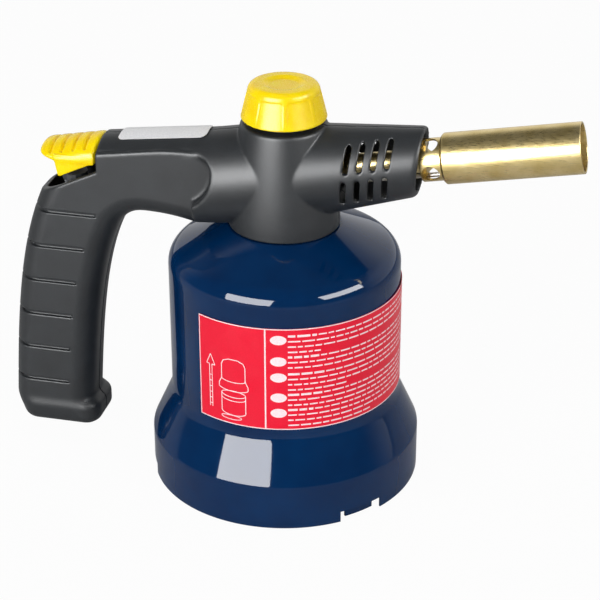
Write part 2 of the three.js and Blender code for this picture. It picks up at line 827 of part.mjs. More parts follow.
function shroudSlots() {
  const slots = [];
  for (let i = 0; i < slotCount; i += 1) {
    const x = slotStart + i * slotPitch;
    slots.push(slotSolid(x, axisAt(x) + upperSlotRise));
    const lean = (upperSlotRise + lowerSlotDrop) * Math.tan(radians(rimLean));
    slots.push(slotSolid(x - lean, axisAt(x) - lowerSlotDrop));
  }
  return slots;
}

// What lies beyond the shroud's leaning open end
function beyondRim() {
  const reach = 2 * tubeRadius;
  const geometry = block(reach / 2, 0, 0, reach, 2 * reach, 2 * reach);
  geometry.rotateY(radians(rimLean));
  const place = rimPlace * Math.cos(radians(burnerTilt));
  geometry.translate(place, 0, axisAt(place));
  return solid(geometry);
}

// Grooves round the back and sides of the grip, cut down to a slightly smaller grip
function gripGrooves() {
  const rings = [];
  for (let i = 0; i < grooveCount; i += 1) {
    const level = grooveStart + i * groovePitch;
    const end = gripEdgeAt(level, gripWidth / 2) - grooveMargin;
    const ring = block(end - gripWidth, 0, level, 2 * gripWidth, handleThickness + overrun, grooveWidth);
    rings.push(solid(ring));
  }
  return cut(join(...rings), gripSolid(grooveDepth));
}

// A round solid across the parting plane at a screw's place
function acrossAt([x, level], radius, from, to) {
  const geometry = bar(radius, from, to, smallSteps / 2);
  geometry.rotateX(-upright);
  geometry.translate(x, 0, level);
  return solid(geometry);
}

// Places of the screws, as X and height
function screwPlaces() {
  const low = gripLine.getPoint(lowScrewShare);
  const middle = gripLine.getPoint(middleScrewShare);
  return [
    [low.x, low.y],
    [middle.x, middle.y],
    [frontWallX + archScrewReach, archTop + archScrewRise],
    [-hubScrewReach, crownLevel + hubScrewRise],
    [shroudScrewReach, axisAt(shroudScrewReach) - shroudScrewDrop],
  ];
}

// Plates inside the grip that carry the igniter, with a hole for it in the upper one
function igniterPlates() {
  const core = gripSolid(wall / 2);
  const plate = (bottom) => core.intersect(solid(
    block(piezoX, 0, bottom + ribPlate / 2, 2 * gripWidth, handleThickness, ribPlate),
  ));
  const guide = bar(piezoRadius + gap, guideLevel - overrun, guideLevel + overrun);
  guide.translate(piezoX, 0, 0);
  return [plate(piezoBottom - gap - ribPlate), cut(plate(guideLevel), solid(guide))];
}

function makeShells() {
  const outer = join(gripSolid(0), toeSolid(), spineSolid(0), tubeSolid(0), hubSolid(0));
  const hollow = join(gripSolid(wall), spineSolid(wall), tubeSolid(wall), hubSolid(wall));
  const neckTop = hubTopLevel + hubNeckRise;
  const neck = solid(bar(hubNeckRadius, hubTopLevel - hubPlate, neckTop));
  const places = screwPlaces();
  const bossAt = (place) => acrossAt(place, bossRadius, -tubeRadius, tubeRadius).intersect(outer);
  const bosses = places.map(bossAt);
  const far = 2 * (tubeRadius - gripFootX);
  const frontWall = outer.intersect(solid(block(
    frontWallX + wall / 2, 0, lipLevel + far / 2, wall, far, far,
  )));
  const floorHole = bar(valveShoulderRadius + gap, crownLevel - overrun, crownLevel + hubPlate + overrun);
  const neckHole = bar(hubBore, hubTopLevel - overrun, neckTop + overrun);
  const body = cut(
    join(cut(join(outer, neck), hollow), ...bosses, frontWall, ...igniterPlates()),
    triggerOpening(), beyondRim(), gripGrooves(), ...shroudSlots(), solid(floorHole), solid(neckHole),
    wireSolid(ignitionRoute(), wireRadius + wireClearance),
    wireSolid(earthRoute(), wireRadius + wireClearance),
  );
  const half = (side) => solid(block(0, side * (far / 2 + gap / 2), axisLevel / 2, 2 * far, far, 2 * far));
  const reach = screwReach + overrun / 2;
  const pilots = places.map((place) => acrossAt(place, screwShankRadius + gap, -screwReach - gap, reach));
  const sinkRadius = screwHeadRadius + gap;
  const sinks = places.map((place) => acrossAt(place, sinkRadius, screwReach - gap, 2 * tubeRadius));
  add('right_shell', cut(body.intersect(half(-1)), ...pilots), 'plastic');
  add('left_shell', cut(body.intersect(half(1)), ...pilots, ...sinks), 'plastic');
}

function makeScrews() {
  screwPlaces().forEach((place, i) => {
    const profile = turned([
      [0, -screwReach], [screwShankRadius, screwShankRadius - screwReach], [screwShankRadius, screwReach],
      [screwHeadRadius, screwReach], [screwHeadRadius, screwReach + screwHeadHeight / 2],
      [screwHeadRadius / 2, screwReach + screwHeadHeight], [0, screwReach + screwHeadHeight],
    ], smallSteps / 2);
    profile.rotateX(-upright);
    profile.translate(place[0], 0, place[1]);
    add(`shell_screw_${i + 1}`, solid(profile), 'steel');
  });
}

// The silver sticker on the spine
function makeSpineLabel() {
  const half = Math.asin(spineLabelWidth / 2 / spineRadius);
  const shape = stickerShape(spineRadius + gap, -half, 2 * half);
  const geometry = new THREE.ExtrudeGeometry(shape, {
    depth: spineLabelLength,
    bevelEnabled: false,
    curveSegments: curveSteps,
  });
  geometry.rotateZ(Math.PI);
  geometry.translate(0, 0, spineLabelStart);
  geometry.rotateY(upright - radians(spineSlope));
  geometry.translate(frontWallX, 0, spineLevel - spineRadius / Math.cos(radians(spineSlope)));
  add('handle_label', solid(geometry), 'silverSticker');
}

// Trigger

// Outline of the pad seen from the side
function padSide() {
  const front = frontWallX - 2 * gap;
  const fall = Math.tan(radians(padSlope));
  const under = padFrontLevel - padDepth;
  const backTop = padFrontLevel + (padBackX - front) * fall;
  const shape = new THREE.Shape();
  shape.moveTo(front, under);
  shape.lineTo(front, padFrontLevel);
  shape.lineTo(padBackX + padRound, backTop + padRound * fall);
  shape.quadraticCurveTo(padBackX, backTop, padBackX, backTop - padRound);
  shape.lineTo(padBackX, under);
  return shape;
}

// Outline of the pad seen from above: a bowed front, and round corners at the back
function padPlan() {
  const front = frontWallX - 2 * gap;
  const half = triggerThickness / 2;
  const shape = new THREE.Shape();
  shape.moveTo(padBackX, padCorner - half);
  shape.quadraticCurveTo(padBackX, -half, padBackX + padCorner, -half);
  shape.lineTo(front - padSweep, -half);
  shape.quadraticCurveTo(front + padSweep, 0, front - padSweep, half);
  shape.lineTo(padBackX + padCorner, half);
  shape.quadraticCurveTo(padBackX, half, padBackX, half - padCorner);
  return shape;
}

function makeTrigger() {
  const front = frontWallX - 2 * gap;
  const stemLevel = lipLevel + stemGap;
  const stemFall = Math.tan(radians(lipSlope));
  const under = padFrontLevel - padDepth;
  const stem = solid(slab(polygon([
    [front, stemLevel], [front, under + padEdge], [stemBackX - padEdge, under + padEdge],
    [stemBackX, stemLevel + (stemBackX - front) * stemFall],
  ]), triggerThickness));
  const side = solid(slab(padSide(), triggerThickness + overrun));
  const plan = new THREE.ExtrudeGeometry(padPlan(), {
    depth: 2 * padDepth,
    bevelEnabled: false,
    curveSegments: curveSteps,
  });
  plan.translate(0, 0, under);
  // The crown and the grooves are turned about one line that falls towards the back
  const onCrown = (geometry, along) => {
    geometry.translate(0, 0, along);
    geometry.rotateY(-upright - radians(padSlope));
    geometry.translate(front, 0, padFrontLevel - padCrownRadius / Math.cos(radians(padSlope)));
    return solid(geometry);
  };
  const crown = onCrown(bar(padCrownRadius, 0, 2 * gripWidth, roundSteps), -gripWidth);
  const ribs = [];
  for (let i = 0; i < ribCount; i += 1) {
    const ring = sleeve(padCrownRadius + overrun, padCrownRadius - ribDepth, 0, ribWidth, roundSteps);
    ribs.push(onCrown(ring, (ribStart + i * ribPitch - ribWidth / 2) / Math.cos(radians(padSlope))));
  }
  const tongue = block(
    front - tongueThickness,
    0,
    stemLevel - tongueDrop / 2,
    tongueThickness,
    tongueWidth,
    tongueDrop + stemGap,
  );
  const pad = cut(side.intersect(solid(plan)).intersect(crown), ...ribs);
  add('trigger', join(pad, stem, solid(tongue)), 'yellow');
}

// Igniter

// Height of the stem's underside above the igniter
function stemUnderside() {
  const front = frontWallX - 2 * gap;
  return lipLevel + stemGap + (piezoX - front) * Math.tan(radians(lipSlope));
}

function makeIgniter() {
  const bore = piezoTop - piezoBoreDepth;
  const capBottom = piezoTop + gap + springLength + gap;
  const body = turned([
    [0, piezoBottom],
    [piezoRadius, piezoBottom],
    [piezoRadius, piezoTop],
    [piezoBore, piezoTop],
    [piezoBore, bore],
    [0, bore],
  ]);
  const capTop = stemUnderside() - plungerCapRadius * Math.tan(radians(lipSlope)) - gap;
  const plunger = turned([
    [0, capBottom - plungerLength], [plungerRadius, capBottom - plungerLength], [plungerRadius, capBottom],
    [plungerCapRadius, capBottom], [plungerCapRadius, capTop], [0, capTop],
  ]);
  body.translate(piezoX, 0, 0);
  plunger.translate(piezoX, 0, 0);
  add('piezo_body', solid(body), 'housing');
  add('piezo_plunger', solid(plunger), 'housing');
}

// A round wire swept along a path, with a chosen number of sides
function swept(path, radius, sides, steps) {
  const section = new THREE.Shape();
  for (let i = 0; i < sides; i += 1) {
    const angle = fullTurn * i / sides;
    const x = radius * Math.cos(angle);
    const y = radius * Math.sin(angle);
    if (i === 0) section.moveTo(x, y);
    else section.lineTo(x, y);
  }
  section.closePath();
  return new THREE.ExtrudeGeometry(section, { steps, extrudePath: path, bevelEnabled: false });
}

function makeSpring() {
  const bottom = piezoTop + gap + springWire;
  const top = piezoTop + gap + springLength - springWire;
  const turnSteps = 10;
  const points = [];
  for (let i = 0; i <= springTurns * turnSteps; i += 1) {
    const share = i / (springTurns * turnSteps);
    const angle = fullTurn * springTurns * share;
    points.push(new THREE.Vector3(
      piezoX + springRadius * Math.cos(angle),
      springRadius * Math.sin(angle),
      bottom + (top - bottom) * share,
    ));
  }
  const path = new THREE.CatmullRomCurve3(points);
  add('trigger_spring', solid(swept(path, springWire, 5, springTurns * turnSteps)), 'steel');
}

function bendPoint([x, y, drop]) {
  return new THREE.Vector3(x, y, axisLevel - drop);
}

// Lead from the igniter to the electrode, over the arch and past the valve on the near side
function ignitionRoute() {
  return new THREE.CatmullRomCurve3([
    new THREE.Vector3(piezoX + piezoRadius + 2 * gap, 0, axisLevel - leadOutDrop),
    ...ignitionBends.map(bendPoint),
    onBurner(electrodeStart - gap, electrodeOffset),
  ]);
}

// Earth lead from the igniter back to the valve on the far side
function earthRoute() {
  return new THREE.CatmullRomCurve3([
    new THREE.Vector3(piezoX + piezoRadius + 2 * gap, 0, axisLevel - earthOutDrop),
    ...earthBends.map(bendPoint),
    new THREE.Vector3(-valveRadius - gap, 0, axisLevel - earthTagDrop),
  ]);
}

function wireSolid(route, radius) {
  return solid(swept(route, radius, 8, wireSteps));
}

function makeWires() {
  add('ignition_wire', wireSolid(ignitionRoute(), wireRadius), 'wire');
  add('earth_wire', wireSolid(earthRoute(), wireRadius), 'earth');
}

// Valve

function makeValve() {
  const sitting = crownLevel + gap;
  const flangeBottom = sitting + hubPlate + gap;
  const flangeTop = flangeBottom + valveFlangeHeight;
  const spindleBoreRadius = spindleRadius + gap;
  const pocketFloor = valveTop - glandPocketDepth;
  const body = solid(turned([
    [0, valveBottom], [sealRadius + gap, valveBottom], [sealRadius + gap, valveBottom + hubPlate],
    [valveNeckRadius, valveBottom + hubPlate], [valveNeckRadius, sitting], [valveShoulderRadius, sitting],
    [valveShoulderRadius, flangeBottom], [valveFlangeRadius, flangeBottom], [valveFlangeRadius, flangeTop],
    [valveRadius, flangeTop], [valveRadius, valveTop], [0, valveTop],
  ]));
  const outlet = solid(alongBurner(bar(outletRadius, 0, outletLength)));
  const socketStart = outletLength - spigotLength - gap;
  const socket = solid(alongBurner(bar(spigotRadius + gap, socketStart, outletLength + overrun)));
  const port = solid(alongBurner(bar(gasTubeBore, 0, outletLength)));
  const needleSocket = valveBottom + piercerLength - piercerReach + gap;
  const passage = solid(turned([
    [0, valveBottom - overrun],
    [piercerRadius + gap, valveBottom - overrun],
    [piercerRadius + gap, needleSocket],
    [seatRadius, needleSocket],
    [seatRadius, seatLevel],
    [chamberRadius, seatLevel],
    [chamberRadius, chamberTop],
    [spindleBoreRadius, chamberTop], [spindleBoreRadius, pocketFloor], [glandPocketRadius, pocketFloor],
    [glandPocketRadius, valveTop + overrun], [0, valveTop + overrun],
  ]));
  add('valve_body', cut(join(body, outlet), socket, port, passage), 'brass');

  const nutTop = crownLevel - bellSheet - gap;
  const nut = cut(
    solid(bar(nutRadius, nutTop - nutHeight, nutTop, 6)),
    solid(bar(valveNeckRadius + gap, nutTop - nutHeight - overrun, nutTop + overrun)),
  );
  add('retaining_nut', nut, 'steel');

  const tip = valveBottom - piercerReach;
  add('piercing_needle', solid(turned([
    [0, tip],
    [piercerRadius, tip + piercerPoint],
    [piercerRadius, tip + piercerLength],
    [0, tip + piercerLength],
  ])), 'steel');

  const sealTop = valveBottom - gap;
  add('cartridge_seal', solid(sleeve(sealRadius, sealBore, sealTop - sealThickness, sealTop)), 'rubber');

  const needleTip = seatLevel - 2 * gap;
  add('valve_needle', solid(turned([
    [0, needleTip], [needleTipRadius, needleTip], [needleConeRadius, needleTip + needleConeHeight],
    [needleRadius, needleTip + needleConeHeight],
    [needleRadius, needleTip + needleLength],
    [0, needleTip + needleLength],
  ])), 'steel');

  const spindleBottom = chamberTop + gap;
  const spindleTop = knobLevel + knobHeight - knobWall - knobDishDepth - 2 * gap;
  add('spindle', solid(turned([
    [spindleBore, spindleBottom],
    [spindleRadius, spindleBottom],
    [spindleRadius, spindleTop],
    [0, spindleTop],
    [0, spindleBottom + spindleBoreDepth], [spindleBore, spindleBottom + spindleBoreDepth],
    [spindleBore, spindleBottom],
  ])), 'steel');

  const ringBottom = pocketFloor + gap;
  const ringTop = ringBottom + glandRingHeight;
  const ring = sleeve(glandPocketRadius - gap, spindleBoreRadius, ringBottom, ringTop);
  add('gland_seal', solid(ring), 'rubber');

  const plug = sleeve(glandPocketRadius - gap, spindleBoreRadius, ringTop + gap, valveTop + 2 * gap);
  const headBottom = valveTop + gap;
  const head = cut(
    solid(bar(glandHeadRadius, headBottom, headBottom + glandHeadHeight, 6)),
    solid(bar(spindleBoreRadius, headBottom - overrun, headBottom + glandHeadHeight + overrun)),
  );
  add('gland_nut', join(solid(plug), head), 'brass');
}

// Knob

function makeKnob() {
  const top = knobLevel + knobHeight;
  const slope = (knobBaseRadius - knobTopRadius) / (knobHeight - knobRound);
  const profile = [[0, knobLevel], [knobBaseRadius, knobLevel], [knobTopRadius, top - knobRound]];
  for (let i = 1; i <= 3; i += 1) {
    const angle = upright * i / 3;
    const inset = knobRound * (1 - Math.cos(angle));
    profile.push([knobTopRadius - inset, top - knobRound * (1 - Math.sin(angle))]);
  }
  const dishFloor = top - knobDishDepth;
  profile.push([knobDishRadius, top], [knobDishRadius - knobDishDepth, dishFloor], [0, dishFloor]);
  const roof = top - knobDishDepth - knobWall;
  const inside = knobBaseRadius - knobWall;
  const roomTop = turned([
    [0, knobLevel - overrun], [inside, knobLevel - overrun], [inside, knobLevel],
    [inside - slope * (roof - knobLevel), roof], [0, roof],
  ], roundSteps);
  const boss = sleeve(knobBossRadius, spindleRadius + gap, knobLevel, roof + knobWall / 2);
  const flutes = [];
  for (let i = 0; i < fluteCount; i += 1) {
    const angle = fullTurn / fluteCount;
    const width = 2 * knobBaseRadius * Math.sin(angle / 2) - ridgeWidth;
    const flute = block(0, 0, 0, width, 2 * fluteDepth, knobHeight);
    flute.rotateX(-Math.atan(slope));
    const level = top - fluteTop - knobHeight / 2;
    const radius = knobBaseRadius * Math.cos(angle / 2) + ridgeWidth / 3 - slope * (level - knobLevel);
    flute.translate(0, -radius - fluteDepth / 2, level);
    flute.rotateZ(angle * (i + 1 / 2));
    flutes.push(solid(flute));
  }
  const shell = cut(solid(turned(profile, roundSteps)), solid(roomTop), ...flutes);
  const bore = bar(spindleRadius + gap, knobLevel - overrun, roof);
  add('regulator_knob', join(shell, cut(solid(boss), solid(bore))), 'yellow');
}

// Burner

function makeBurner() {
  const spigotEnd = collarStart + collarBack + jetRadius / 2;
  const tube = join(
    solid(bar(spigotRadius, gasTubeStart - spigotLength, spigotEnd)),
    solid(bar(gasTubeRadius, gasTubeStart, collarStart - gap)),
  );
  const throughStart = gasTubeStart - spigotLength - overrun;
  const through = solid(bar(gasTubeBore, throughStart, spigotEnd + overrun, smallSteps / 2));
  add('gas_tube', solid(alongBurner(geometryOf(cut(tube, through)))), 'brass');

  const jetStart = spigotEnd + gap;
  add('jet', solid(alongBurner(turned([
    [jetBore, jetStart], [jetRadius, jetStart], [jetRadius, jetStart + jetLength / 2],
    [jetRadius / 2, jetStart + jetLength], [jetBore, jetStart + jetLength], [jetBore, jetStart],
  ], smallSteps / 2))), 'brass');

  const collarInside = collarRadius - collarWall;
  const collarEnd = burnerStart + burnerHeel;
  const can = solid(turned([
    [0, collarStart], [collarRadius, collarStart], [collarRadius, collarEnd], [collarInside, collarEnd],
    [collarInside, collarStart + collarBack], [0, collarStart + collarBack],
  ], 2 * smallSteps));
  const airHoles = [];
  for (let i = 0; i < airHoleCount; i += 1) {
    const hole = bar(airHoleRadius, gasTubeRadius, collarRadius + overrun);
    hole.rotateX(upright);
    hole.rotateZ(-radians(airHoleTurn) - fullTurn * i / airHoleCount);
    hole.translate(0, 0, airHolePlace);
    airHoles.push(solid(hole));
  }
  const spigotHole = bar(spigotRadius + gap, collarStart - overrun, airHolePlace);
  const electrodeHole = bar(ceramicRadius + gap, collarStart - overrun, airHolePlace, smallSteps / 2);
  electrodeHole.translate(electrodeOffset, 0, 0);
  const collar = cut(can, ...airHoles, solid(spigotHole), solid(electrodeHole));
  add('burner_collar', solid(alongBurner(geometryOf(collar))), 'brass');

  const mouth = burnerRadius - burnerWall;
  add('burner_tube', solid(alongBurner(turned([
    [collarRadius + gap, burnerStart],
    [burnerRadius - burnerWall, burnerStart],
    [burnerRadius, burnerStart + burnerWall],
    [burnerRadius, burnerEnd], [mouth, burnerEnd], [mouth, burnerStart + burnerHeel + burnerHeelWall],
    [collarRadius + gap, burnerStart + burnerHeel], [collarRadius + gap, burnerStart],
  ], roundSteps))), 'brass');

  const discEnd = holderPlace + holderThickness;
  const disc = solid(sleeve(mouth - gap, holderBore, holderPlace, discEnd, 2 * smallSteps));
  const flameHoles = [];
  for (let i = 0; i < holderHoleCount; i += 1) {
    const hole = bar(holderHoleRadius, holderPlace - overrun, holderPlace + overrun, smallSteps / 2);
    hole.translate(electrodeOffset, 0, 0);
    hole.rotateZ(fullTurn * i / holderHoleCount);
    flameHoles.push(solid(hole));
  }
  add('flame_holder', solid(alongBurner(geometryOf(cut(disc, ...flameHoles)))), 'steel');

  const electrode = bar(electrodeRadius, electrodeStart, electrodeEnd, smallSteps / 3);
  const ceramic = sleeve(ceramicRadius, electrodeRadius + gap / 2, ceramicStart, ceramicEnd, smallSteps / 2);
  const pieces = [[electrode, 'electrode', 'steel'], [ceramic, 'electrode_sleeve', 'ceramic']];
  pieces.forEach(([geometry, name, finish]) => {
    geometry.translate(electrodeOffset, 0, 0);
    add(name, solid(alongBurner(geometry)), finish);
  });
}

makeBell();
makeBellLabel();
makeCup();
makeCartridge();
makeShells();
makeScrews();
makeSpineLabel();
makeTrigger();
makeIgniter();
makeSpring();
makeWires();
makeValve();
makeKnob();
makeBurner();

// Centre the lamp over the origin
const box = new THREE.Box3().setFromObject(group);
group.position.set(-(box.min.x + box.max.x) / 2, -(box.min.y + box.max.y) / 2, -box.min.z);

export default group;
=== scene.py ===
"""Visual model of a gas blow lamp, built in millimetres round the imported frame."""

import json
import logging
import math
from dataclasses import dataclass
from enum import Enum
from typing import Any, Callable, Iterable, Sequence

import bmesh
import bpy
import numpy as np
from mathutils import Matrix, Vector

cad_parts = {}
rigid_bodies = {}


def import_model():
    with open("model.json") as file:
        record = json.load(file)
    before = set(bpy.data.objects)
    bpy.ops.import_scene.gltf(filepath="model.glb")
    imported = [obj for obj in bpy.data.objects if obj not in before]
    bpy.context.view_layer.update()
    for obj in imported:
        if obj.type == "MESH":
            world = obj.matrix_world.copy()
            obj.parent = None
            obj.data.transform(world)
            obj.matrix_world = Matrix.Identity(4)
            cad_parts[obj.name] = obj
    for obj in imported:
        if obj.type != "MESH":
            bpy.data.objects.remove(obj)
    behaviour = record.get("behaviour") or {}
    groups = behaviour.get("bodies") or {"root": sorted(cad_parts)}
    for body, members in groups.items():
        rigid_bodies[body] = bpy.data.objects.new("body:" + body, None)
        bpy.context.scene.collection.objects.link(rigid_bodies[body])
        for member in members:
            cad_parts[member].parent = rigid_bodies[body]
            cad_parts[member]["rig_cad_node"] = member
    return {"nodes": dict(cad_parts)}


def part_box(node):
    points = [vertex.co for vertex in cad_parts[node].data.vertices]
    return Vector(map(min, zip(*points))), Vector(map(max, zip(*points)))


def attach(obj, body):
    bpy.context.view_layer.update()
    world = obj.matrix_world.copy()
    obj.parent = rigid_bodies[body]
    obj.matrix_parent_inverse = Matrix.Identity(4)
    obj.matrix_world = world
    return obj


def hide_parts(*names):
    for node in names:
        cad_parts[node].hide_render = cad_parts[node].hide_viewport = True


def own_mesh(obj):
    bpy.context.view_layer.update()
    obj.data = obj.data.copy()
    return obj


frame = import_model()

LOG = logging.getLogger("blow_lamp")
MM = 0.001
CREASE = 35.0  # degrees above which an edge stays sharp
ALL_SMOOTH = 180.0
Point2 = tuple[float, float]
Array = np.ndarray
Field = Callable[[Array, Array, Array], Array]
Piece = bpy.types.Object
Tree = bpy.types.NodeTree
Node = bpy.types.Node
Socket = bpy.types.NodeSocket


class Cut(Enum):
    """How a tool solid changes a piece."""

    DIFFERENCE = "DIFFERENCE"
    UNION = "UNION"


class Side(Enum):
    """Which half of the moulded body a shell is."""

    NEAR = -1
    FAR = 1


class Light(Enum):
    """What a softbox does: lights the lamp evenly, or shows as a window in its gloss."""

    SOFT = "soft"
    MIRRORED = "mirrored"


# Places and shapes


def head_shift() -> Vector:
    """Gives the head's upright axis in the frame, in millimetres."""
    low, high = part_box("bell")
    return Vector(((low.x + high.x) / 2 / MM, 0.0, 0.0))


HEAD = head_shift()
AXIS_LEVEL = 133.2  # where the burner's axis meets the head's upright axis
CROWN_LEVEL = 111.2  # top of the bell
HUB_TOP = 154.6  # top of the moulded hub, under the knob
BURNER_TILT = math.radians(10.3)


def axis_level(x: float) -> float:
    """Gives the height of the burner's axis at an X."""
    return AXIS_LEVEL + x * math.tan(BURNER_TILT)


def along_burner() -> Matrix:
    """Gives the turn that lays a piece built up +Z along the burner's axis."""
    return Matrix.Translation((0.0, 0.0, AXIS_LEVEL)) @ Matrix.Rotation(math.pi / 2 - BURNER_TILT, 4, "Y")


def new_piece(
    name: str, points: Any, faces: Any, turn: Matrix | None = None, crease: float = CREASE
) -> Piece:
    """Makes one mesh object from points in the head's millimetres.

    Args:
        name: The piece's name.
        points: Vertex places, in millimetres from the head's axis.
        faces: Vertex numbers of each face.
        turn: A matrix that lays the points in place first.
        crease: Angle in degrees above which an edge stays sharp.

    Returns:
        The object, with its place in its mesh.
    """
    places = np.asarray(points, dtype=np.float64).reshape(-1, 3)
    if turn is not None:
        matrix = np.array(turn)
        places = places @ matrix[:3, :3].T + matrix[:3, 3]
    places = (places + np.array(HEAD)) * MM
    mesh = bpy.data.meshes.new(name)
    listed = faces.tolist() if isinstance(faces, np.ndarray) else [list(face) for face in faces]
    mesh.from_pydata(places.tolist(), [], listed)
    mesh.update()
    piece = bpy.data.objects.new(name, mesh)
    bpy.context.scene.collection.objects.link(piece)
    smooth(piece, crease)
    return piece


def smooth(piece: Piece, crease: float = CREASE) -> None:
    """Shades a piece smoothly and keeps edges sharper than the crease angle."""
    piece.data.shade_smooth()
    if crease < ALL_SMOOTH:
        piece.data.set_sharp_from_angle(angle=math.radians(crease))


def face_outwards(piece: Piece) -> None:
    """Turns all faces of a closed piece outwards."""
    work = bmesh.new()
    work.from_mesh(piece.data)
    bmesh.ops.remove_doubles(work, verts=work.verts, dist=1e-7)
    bmesh.ops.recalc_face_normals(work, faces=work.faces)
    work.to_mesh(piece.data)
    work.free()


def softened(corners: Sequence[tuple[float, ...]], steps: int = 5, closed: bool = True) -> list[Point2]:
    """Rounds the corners of an outline, each by its own radius, over less than half of each side.

    Args:
        corners: (x, y, radius) or (x, y) of each corner.
        steps: Points along each rounded corner.
        closed: Whether the last corner joins the first.

    Returns:
        The points of the rounded outline.
    """
    side_share = 0.49
    count = len(corners)
    points: list[Point2] = []
    for i, corner in enumerate(corners):
        here = Vector(corner[:2])
        radius = corner[2] if len(corner) > 2 else 0.0
        if radius <= 0.0 or (not closed and i in (0, count - 1)):
            points.append((here.x, here.y))
            continue
        back = Vector(corners[i - 1][:2]) - here
        ahead = Vector(corners[(i + 1) % count][:2]) - here
        half = back.angle(ahead) / 2
        reach = min(radius / math.tan(half), back.length * side_share, ahead.length * side_share)
        size = reach * math.tan(half)
        start = here + back.normalized() * reach
        end = here + ahead.normalized() * reach
        middle = here + (back.normalized() + ahead.normalized()).normalized() * (size / math.sin(half))
        first = start - middle
        sweep = first.angle_signed(end - middle)
        for step in range(steps + 1):
            turned = first.copy()
            turned.rotate(Matrix.Rotation(-sweep * step / steps, 2))
            points.append(((middle + turned).x, (middle + turned).y))
    return points


def swept_corner(start: Point2, bend: Point2, end: Point2, steps: int = 16) -> list[Point2]:
    """Gives the points after the start of a curve that leaves and arrives towards the bend."""
    points = []
    for n in range(1, steps + 1):
        s = n / steps
        r = 1 - s
        points.append(tuple(r * r * a + 2 * r * s * b + s * s * c for a, b, c in zip(start, bend, end)))
    return points


def divided(
    profile: Sequence[Point2], pitch: float, closed: bool = True, beyond: float = 0.0
) -> list[Point2]:
    """Splits the long stretches of a profile, so that the faces stay even.

    Args:
        profile: (radius, height) pairs.
        pitch: Shortest step that a stretch is split into.
        closed: Whether the last pair joins the first.
        beyond: Radius that both ends of a stretch have to pass.

    Returns:
        The pairs with those between them.
    """
    points: list[Point2] = [] if closed else [profile[0]]
    for n in range(0 if closed else 1, len(profile)):
        (r0, z0), (r1, z1) = profile[n - 1], profile[n]
        count = max(1, int(math.hypot(r1 - r0, z1 - z0) / pitch)) if min(r0, r1) > beyond else 1
        for k in range(1, count + 1):
            points.append((r0 + (r1 - r0) * k / count, z0 + (z1 - z0) * k / count))
    return points


def turned(
    name: str,
    profile: Sequence[Point2],
    steps: int = 128,
    turn: Matrix | None = None,
    closed: bool = True,
    radius_at: Callable[[float, float, float], float] | None = None,
) -> Piece:
    """Turns a profile of (radius, height) pairs about the Z axis.

    Args:
        name: The piece's name.
        profile: The pairs, in order round the section.
        steps: Facets round the turn.
        turn: A matrix that lays the piece in place.
        closed: Whether the section's last pair joins its first.
        radius_at: Changes a radius by (radius, height, angle). The angle runs from the near side
            towards the burner.

    Returns:
        The closed piece.
    """
    points: list[tuple[float, float, float]] = []
    rings: list[list[int]] = []
    for radius, height in profile:
        if radius < 1e-6:
            rings.append([len(points)] * steps)
            points.append((0.0, 0.0, height))
            continue
        rings.append(list(range(len(points), len(points) + steps)))
        for step in range(steps):
            angle = 2 * math.pi * step / steps
            size = radius_at(radius, height, angle) if radius_at else radius
            points.append((size * math.sin(angle), -size * math.cos(angle), height))
    faces = []
    spans = range(len(rings)) if closed else range(1, len(rings))
    for row in spans:
        low, high = rings[row - 1], rings[row]
        for step in range(steps):
            after = (step + 1) % steps
            face = [low[step], low[after], high[after], high[step]]
            face = [n for k, n in enumerate(face) if n != face[k - 1]]
            if len(face) > 2:
                faces.append(face)
    piece = new_piece(name, points, faces, turn)
    face_outwards(piece)
    smooth(piece)
    return piece


def block(name: str, middle: Sequence[float], size: Sequence[float], turn: Matrix | None = None) -> Piece:
    """Makes a plain cutting block by its middle and its three lengths."""
    signs = [(a, b, c) for a in (-0.5, 0.5) for b in (-0.5, 0.5) for c in (-0.5, 0.5)]
    points = [tuple(m + s * k for m, s, k in zip(middle, size, sign)) for sign in signs]
    faces = [(0, 1, 3, 2), (4, 6, 7, 5), (0, 4, 5, 1), (2, 3, 7, 6), (0, 2, 6, 4), (1, 5, 7, 3)]
    return new_piece(name, points, faces, turn)


def carve(piece: Piece, tools: Iterable[Piece], how: Cut = Cut.DIFFERENCE) -> None:
    """Cuts tools out of a piece, or joins them to it, and removes the tools.

    Args:
        piece: The closed piece to change.
        tools: Closed solids.
        how: Whether the tools are taken away or added.
    """
    used = list(tools)
    for tool in used:
        step = piece.modifiers.new("carve", "BOOLEAN")
        step.operation = how.value
        step.solver = "EXACT"
        step.object = tool
    bpy.context.view_layer.update()
    graph = bpy.context.evaluated_depsgraph_get()
    mesh = bpy.data.meshes.new_from_object(piece.evaluated_get(graph))
    piece.modifiers.clear()
    old = piece.data
    piece.data = mesh
    mesh.name = piece.name
    bpy.data.meshes.remove(old)
    for tool in used:
        bpy.data.objects.remove(tool)
    smooth(piece)


# Distance fields for the moulded pieces


def blended_min(a: Array, b: Array, reach: float) -> Array:
    """Gives the smaller of two distances, with a fillet of that reach between them."""
    share = np.maximum(reach - np.abs(a - b), 0.0) / reach
    return np.minimum(a, b) - share * share * (reach / 4)


def blended_max(a: Array, b: Array, reach: float) -> Array:
    """Gives the larger of two distances, with a rounded edge of that reach between them."""
    share = np.maximum(reach - np.abs(a - b), 0.0) / reach
    return np.maximum(a, b) + share * share * (reach / 4)


def rounded(u: Array, v: Array, radius: float) -> Array:
    """Gives the distance to a corner rounded by a radius, from the distances u and v past its centre."""
    outside = np.sqrt(np.maximum(u, 0.0) ** 2 + np.maximum(v, 0.0) ** 2)
    return outside + np.minimum(np.maximum(u, v), 0.0) - radius


